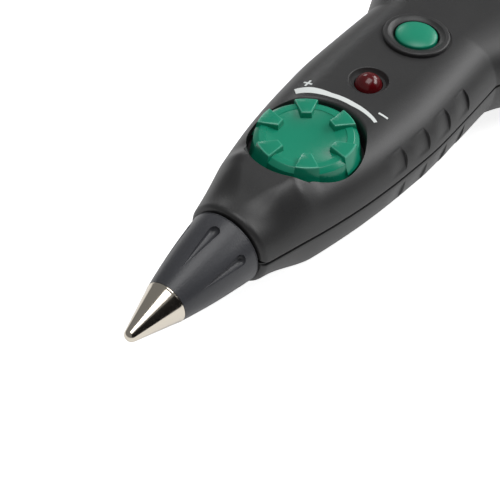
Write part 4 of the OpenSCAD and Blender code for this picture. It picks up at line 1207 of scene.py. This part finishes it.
def paint_highlight_faces(piece, low, high, lean):
    """Painted highlight: the lighter green finish on the faces that lie between two heights and lean between
    level and upright, where the top lamp's reflection would fall.
    """
    mesh = piece.data
    mesh.materials.append(knob_abs)
    mesh.materials.append(knob_painted_highlight)
    n = len(mesh.polygons)
    normals, centres = np.empty(n * 3), np.empty(n * 3)
    mesh.polygons.foreach_get("normal", normals)
    mesh.polygons.foreach_get("center", centres)
    up, z = normals.reshape(-1, 3)[:, 2], centres.reshape(-1, 3)[:, 2] / MM
    highlighted = (z > low) & (z < high) & (up > lean) & (up < level_share)
    mesh.polygons.foreach_set("material_index", highlighted.astype(np.int32))
    return piece


def knob_body():
    """Turned body: dish of fall 1 - u^2.2, level rim, bevel, drafted wall and the hollow underside."""
    crest_z = knob_h - crest_fall
    u = np.linspace(0, 1, dish_rows)
    dish_r = crest_r - rim_w
    dish = np.column_stack([crest_z - rim_h - dish_d * (1 - u**dish_exp_knob), dish_r * u])
    rim = [[crest_z - rim_slope, dish_r + 2 * rim_slope], [crest_z, crest_r - crest_round],
           [crest_z - rim_slope / 2, crest_r], [crest_z - 0.9 * crest_round, crest_r + crest_round]]
    bevel = [[crest_z - bevel_fall + crest_round, knob_top_r - bevel_in],
             [crest_z - bevel_fall, knob_top_r + bevel_out]]
    inner, roof = knob_r - knob_wall, knob_h - knob_roof
    under = [[knob_chamfer, knob_r], [0, knob_r - knob_chamfer], [0, inner], [roof, inner], [roof, 0]]
    body = lathe("volume_knob_skin", np.concatenate([dish, rim, bevel, under]), "z", (knob_x, 0, knob_low),
                 knob_sides)
    # Painted highlight on the rim's round and the bevel
    return paint_highlight_faces(body, knob_low + crest_z - crest_round / 2, knob_top, bevel_lean)


# Rings of a lug from foot to top: height, inset of its outline, radius of its outer wall
lug_rings = [
    (knob_top - lug_foot, -0.3, knob_r + 0.06),
    (knob_top - lug_h - dish_d, -0.14, knob_top_r + 0.18),
    (knob_top - edge_r, 0, lug_top_r + 0.06),
    (knob_top - 0.3 * edge_r, 0.3 * edge_r, lug_top_r - 0.02),
    (knob_top, edge_r, lug_top_r - edge_r),
]


def knob_lug(turn):
    """Lug: a trapezoid between a line and an outer arc, with chamfered upper edges and a flared foot."""
    rings = []
    for z, inset, wall_r in lug_rings:
        y = np.linspace(-1, 1, lug_rows) * (lug_outer_w / 2 - inset)
        arc = np.column_stack([np.sqrt(wall_r**2 - y**2), y])
        inner_x, inner_y = lug_inner_r + inset, lug_inner_w / 2 - inset
        inner = [[inner_x, inner_y], [inner_x, -inner_y]]
        c, s = cos(turn), sin(turn)
        xy = np.concatenate([arc, inner]) @ np.array([[c, s], [-s, c]])
        rings.append(raised(xy + [knob_x, 0], z))
    # Painted highlight on the lug's upper chamfers
    return paint_highlight_faces(loft("lug", rings), knob_top - edge_r, knob_top, lug_lean)


def build_knob():
    """Body and lugs joined, with the hub that takes the shaft."""
    knob = knob_body()
    for i in range(lug_n):
        joined(knob, knob_lug(radians(lug_turn + 360 / lug_n * i)))
    hub = lathe("hub", [[knob_low, hub_bore_r], [knob_low, hub_r], [knob_top - hub_roof, hub_r],
                        [knob_top - hub_roof, hub_bore_r]], "z", (knob_x, 0, 0), hub_sides)
    joined(knob, hub)
    finish_piece(knob, "volume_knob_skin", "knob", knob_abs, ["volume_knob"], knob_smooth)


# Lamp, button and case screws
dome_rows = 24
screw_head_rows = 6
screw_sides = 40
cross_d = 1


def build_lamp():
    """Lamp: half ball on a cylinder with a flange at its foot."""
    s, c = quarter(dome_rows)
    dome = np.column_stack([led_top + led_lift - led_r * (1 - c), led_r * s])
    flange = [[led_foot + led_flange_h, led_r], [led_foot + led_flange_h, led_r + led_flange_w],
              [led_foot, led_r + led_flange_w], [led_foot, 0]]
    lamp = lathe("led_lamp_skin", np.concatenate([dome, flange]), "z", (led_x, 0, 0))
    finish_piece(lamp, "led_lamp_skin", "housing", lamp_red, ["led_lamp"])


def build_button():
    """Oval button: stem, flange, straight sides, then a crown whose rings follow cos and sin."""
    low, top = mm_box("push_button")[0][2], mm_box("push_button")[1][2]
    flange_z = face_z - wall - seat_gap
    flange_foot = flange_z - button_flange_t
    edge_z = top - button_dome
    rings = [oval(stem_w, stem_w, low), oval(stem_w, stem_w, flange_foot),
             oval(button_l, button_w, flange_foot, button_flange),
             oval(button_l, button_w, flange_z, button_flange), oval(button_l, button_w, flange_z)]
    for s, c in list(zip(*quarter(crown_rows)))[:-1]:
        rings.append(oval(button_l * c, button_w * c, edge_z + button_dome * s))
    finish_piece(loft("push_button_skin", rings), "push_button_skin", "button", button_abs, ["push_button"])


def build_screws():
    """Case screws: pan heads with a rounded edge and a cross recess, on plain shanks."""
    s, c = quarter(screw_head_rows)
    low, end = seat_z - head_t, seat_z + screw_l
    edge = np.column_stack([low + head_round * (1 - s), head_r - head_round * (1 - c)])[::-1]
    shank = [[seat_z, head_r], [seat_z, screw_r], [end - screw_end_l, screw_r], [end, screw_end_r], [end, 0]]
    profile = np.concatenate([[[low, 0]], edge, shank])
    screws = []
    for x, y in boss_places:
        screw = lathe("case_screw", profile, "z", (x, y, 0), screw_sides)
        for a, b in ((cross_l / 2, cross_w / 2), (cross_w / 2, cross_l / 2)):
            carve(screw, block("cross", (x - a, y - b, low - over), (x + a, y + b, low + cross_d)))
        screws.append(screw)
    finish_piece(joined(*screws), "case_screws_skin", "housing", steel_zinc, ["case_screws"])


build_knob()
build_lamp()
build_button()
build_screws()

# Printed marks
ink_t = 0.03
arc_x = knob_x + 0.45
arc_angles = [-35, -7, 15, 32, 46]
arc_outer = [13.7, 13.1, 13.1, 13.9, 14.28]
arc_inner = [13.02, 12.0, 11.95, 12.2, 12.43]
stroke_w = 0.42
plus_place = (-44.05, 8.9)
plus_l = 1.9
minus_place = (-43.2, -7.75)
minus_l = 2.1
# Points of a mark along its line and across it
arc_grid = (80, 7)
bar_grid = (12, 3)


def ink_patch(name, x, y):
    """Thin sheet of ink over a grid of places on the face, closed underneath."""
    top = np.stack([x, y, face_height(x, y) + ink_t], -1)
    low = np.stack([x, y, face_height(x, y) - ink_t], -1)
    finish_piece(loft(name, np.concatenate([top, low[:, ::-1]], 1)), name, "housing", white_ink)


def print_arc():
    """Tapered arc behind the knob, wider at its plus end: radii are straight lines over the angle."""
    a = np.linspace(arc_angles[0], arc_angles[-1], arc_grid[0])[:, None]
    inner, outer = np.interp(a, arc_angles, arc_inner), np.interp(a, arc_angles, arc_outer)
    r = mix(inner, outer, np.linspace(0, 1, arc_grid[1])[None, :])
    ink_patch("printed_arc", arc_x + r * np.cos(np.radians(a)), r * np.sin(np.radians(a)))


def print_bar(name, centre, length, turn):
    """Straight printed stroke, turned from the probe's axis."""
    u = np.linspace(-length / 2, length / 2, bar_grid[0])[:, None]
    v = np.linspace(-stroke_w / 2, stroke_w / 2, bar_grid[1])[None, :]
    c, s = cos(radians(turn)), sin(radians(turn))
    ink_patch(name, centre[0] + u * c - v * s, centre[1] + u * s + v * c)


print_arc()
print_bar("printed_plus_a", plus_place, plus_l, 90)
print_bar("printed_plus_b", plus_place, plus_l, 0)
print_bar("printed_minus", minus_place, minus_l, 90)

# Studio: white floor and surround, large soft lamps and a dark card
floor_reach = 3000
floor_drop = 0.02
floor_lift = 0.85
floor_mirror_share = 0.19
paper_mm = 750
card_x0 = -420
card_x1 = 60
card_y = -300
card_h = 480
surround_light = 0.21


def floor_paper():
    """Matt white studio paper, faintly uneven, that glows for camera and glass rays, and in part for mirrors.

    No diffuse ray sees the glow, so it shows white, keeps the shadow and puts no light on matt faces."""
    material, tree, place = started("floor_paper")
    ray = add(tree, "LightPath").outputs
    mirrored = add(tree, "Math", {"operation": "MULTIPLY"}, i0=ray["Is Glossy Ray"], i1=floor_mirror_share)
    seen = add(tree, "Math", {"operation": "MAXIMUM"}, i0=ray["Is Camera Ray"], i1=mirrored.outputs[0])
    seen = add(tree, "Math", {"operation": "MAXIMUM"}, i0=seen.outputs[0], i1=ray["Is Transmission Ray"])
    level = add(tree, "Math", {"operation": "MULTIPLY"}, i0=seen.outputs[0], i1=floor_lift)
    cloud = add(tree, "TexNoise", None, Vector=place, Scale=1 / paper_mm).outputs["Fac"]
    tint = add(tree, "Mix", {"data_type": "RGBA"}, i0=cloud, i6=hexed("f4f4f4"), i7=hexed("fafafa"))
    matt = add(tree, "BsdfDiffuse", None, Color=tint.outputs[2])
    glow = add(tree, "Emission", None, Strength=level.outputs[0])
    return closed(material, tree, add(tree, "AddShader", None, i0=matt.outputs[0], i1=glow.outputs[0]))


def card_black():
    """Matt black board: only the metal shows it, as a streak, so it carries no pattern."""
    material, tree = started("card_black")[:2]
    return closed(material, tree, add(tree, "BsdfDiffuse", None, Color=hexed("242424")))


def stage_sheet(name, corners, material):
    """Flat four-cornered sheet of the studio."""
    mesh = bpy.data.meshes.new(name)
    mesh.from_pydata((np.array(corners, float) * MM).tolist(), [], [[0, 1, 2, 3]])
    mesh.materials.append(material)
    sheet = bpy.data.objects.new(name, mesh)
    bpy.context.scene.collection.objects.link(sheet)
    return sheet


def add_floor():
    """Square of floor under the handle."""
    corners = [(-1, -1), (1, -1), (1, 1), (-1, 1)]
    stage_sheet("floor", [[x * floor_reach, y * floor_reach, -floor_drop] for x, y in corners], floor_paper())


def add_card():
    """Upright card beside the probe, unseen by the camera: it gives the metal tip its dark streak."""
    corners = [(card_x0, 0), (card_x1, 0), (card_x1, card_h), (card_x0, card_h)]
    card = stage_sheet("dark_card", [[x, card_y, z] for x, z in corners], card_black())
    card.visible_camera = False


def add_world():
    """White surround: full strength where the camera sees it, softer as light."""
    world = bpy.data.worlds.new("surround")
    bpy.context.scene.world = world
    world.use_nodes = True
    tree = world.node_tree
    tree.nodes.clear()
    seen = add(tree, "LightPath").outputs["Is Camera Ray"]
    level = add(tree, "MapRange", None, Value=seen, To_Min=surround_light, To_Max=1.0)
    back = add(tree, "Background", None, Color=(1, 1, 1, 1), Strength=level.outputs[0])
    add(tree, "OutputWorld", None, Surface=back.outputs[0])


def add_lamp(name, spot, aim, size, power):
    """Soft box: a flat lamp at spot facing aim, its place and size in millimetres and its power in watts."""
    data = bpy.data.lights.new(name, "AREA")
    data.shape = "RECTANGLE"
    data.size, data.size_y = size[0] * MM, size[1] * MM
    data.energy = power
    lamp = bpy.data.objects.new(name, data)
    spot, aim = Vector(spot) * MM, Vector(aim) * MM
    lamp.location = spot
    lamp.rotation_euler = (spot - aim).to_track_quat("Z", "Y").to_euler()
    bpy.context.scene.collection.objects.link(lamp)


add_floor()
add_world()
add_lamp("side_box", spot=(303, -318, 397), aim=(-30, 0, 25), size=(380, 200), power=1.5)
add_lamp("top_box", spot=(-60, -30, 520), aim=(-60, 0, 20), size=(420, 300), power=1.22)
add_lamp("tail_box", spot=(500, -60, 300), aim=(-30, 0, 25), size=(200, 200), power=0.7)
add_lamp("far_box", spot=(243, 338, 238), aim=(-55, 0, 25), size=(120, 100), power=0.15)
add_card()

bpy.context.scene.view_settings.view_transform = "Standard"
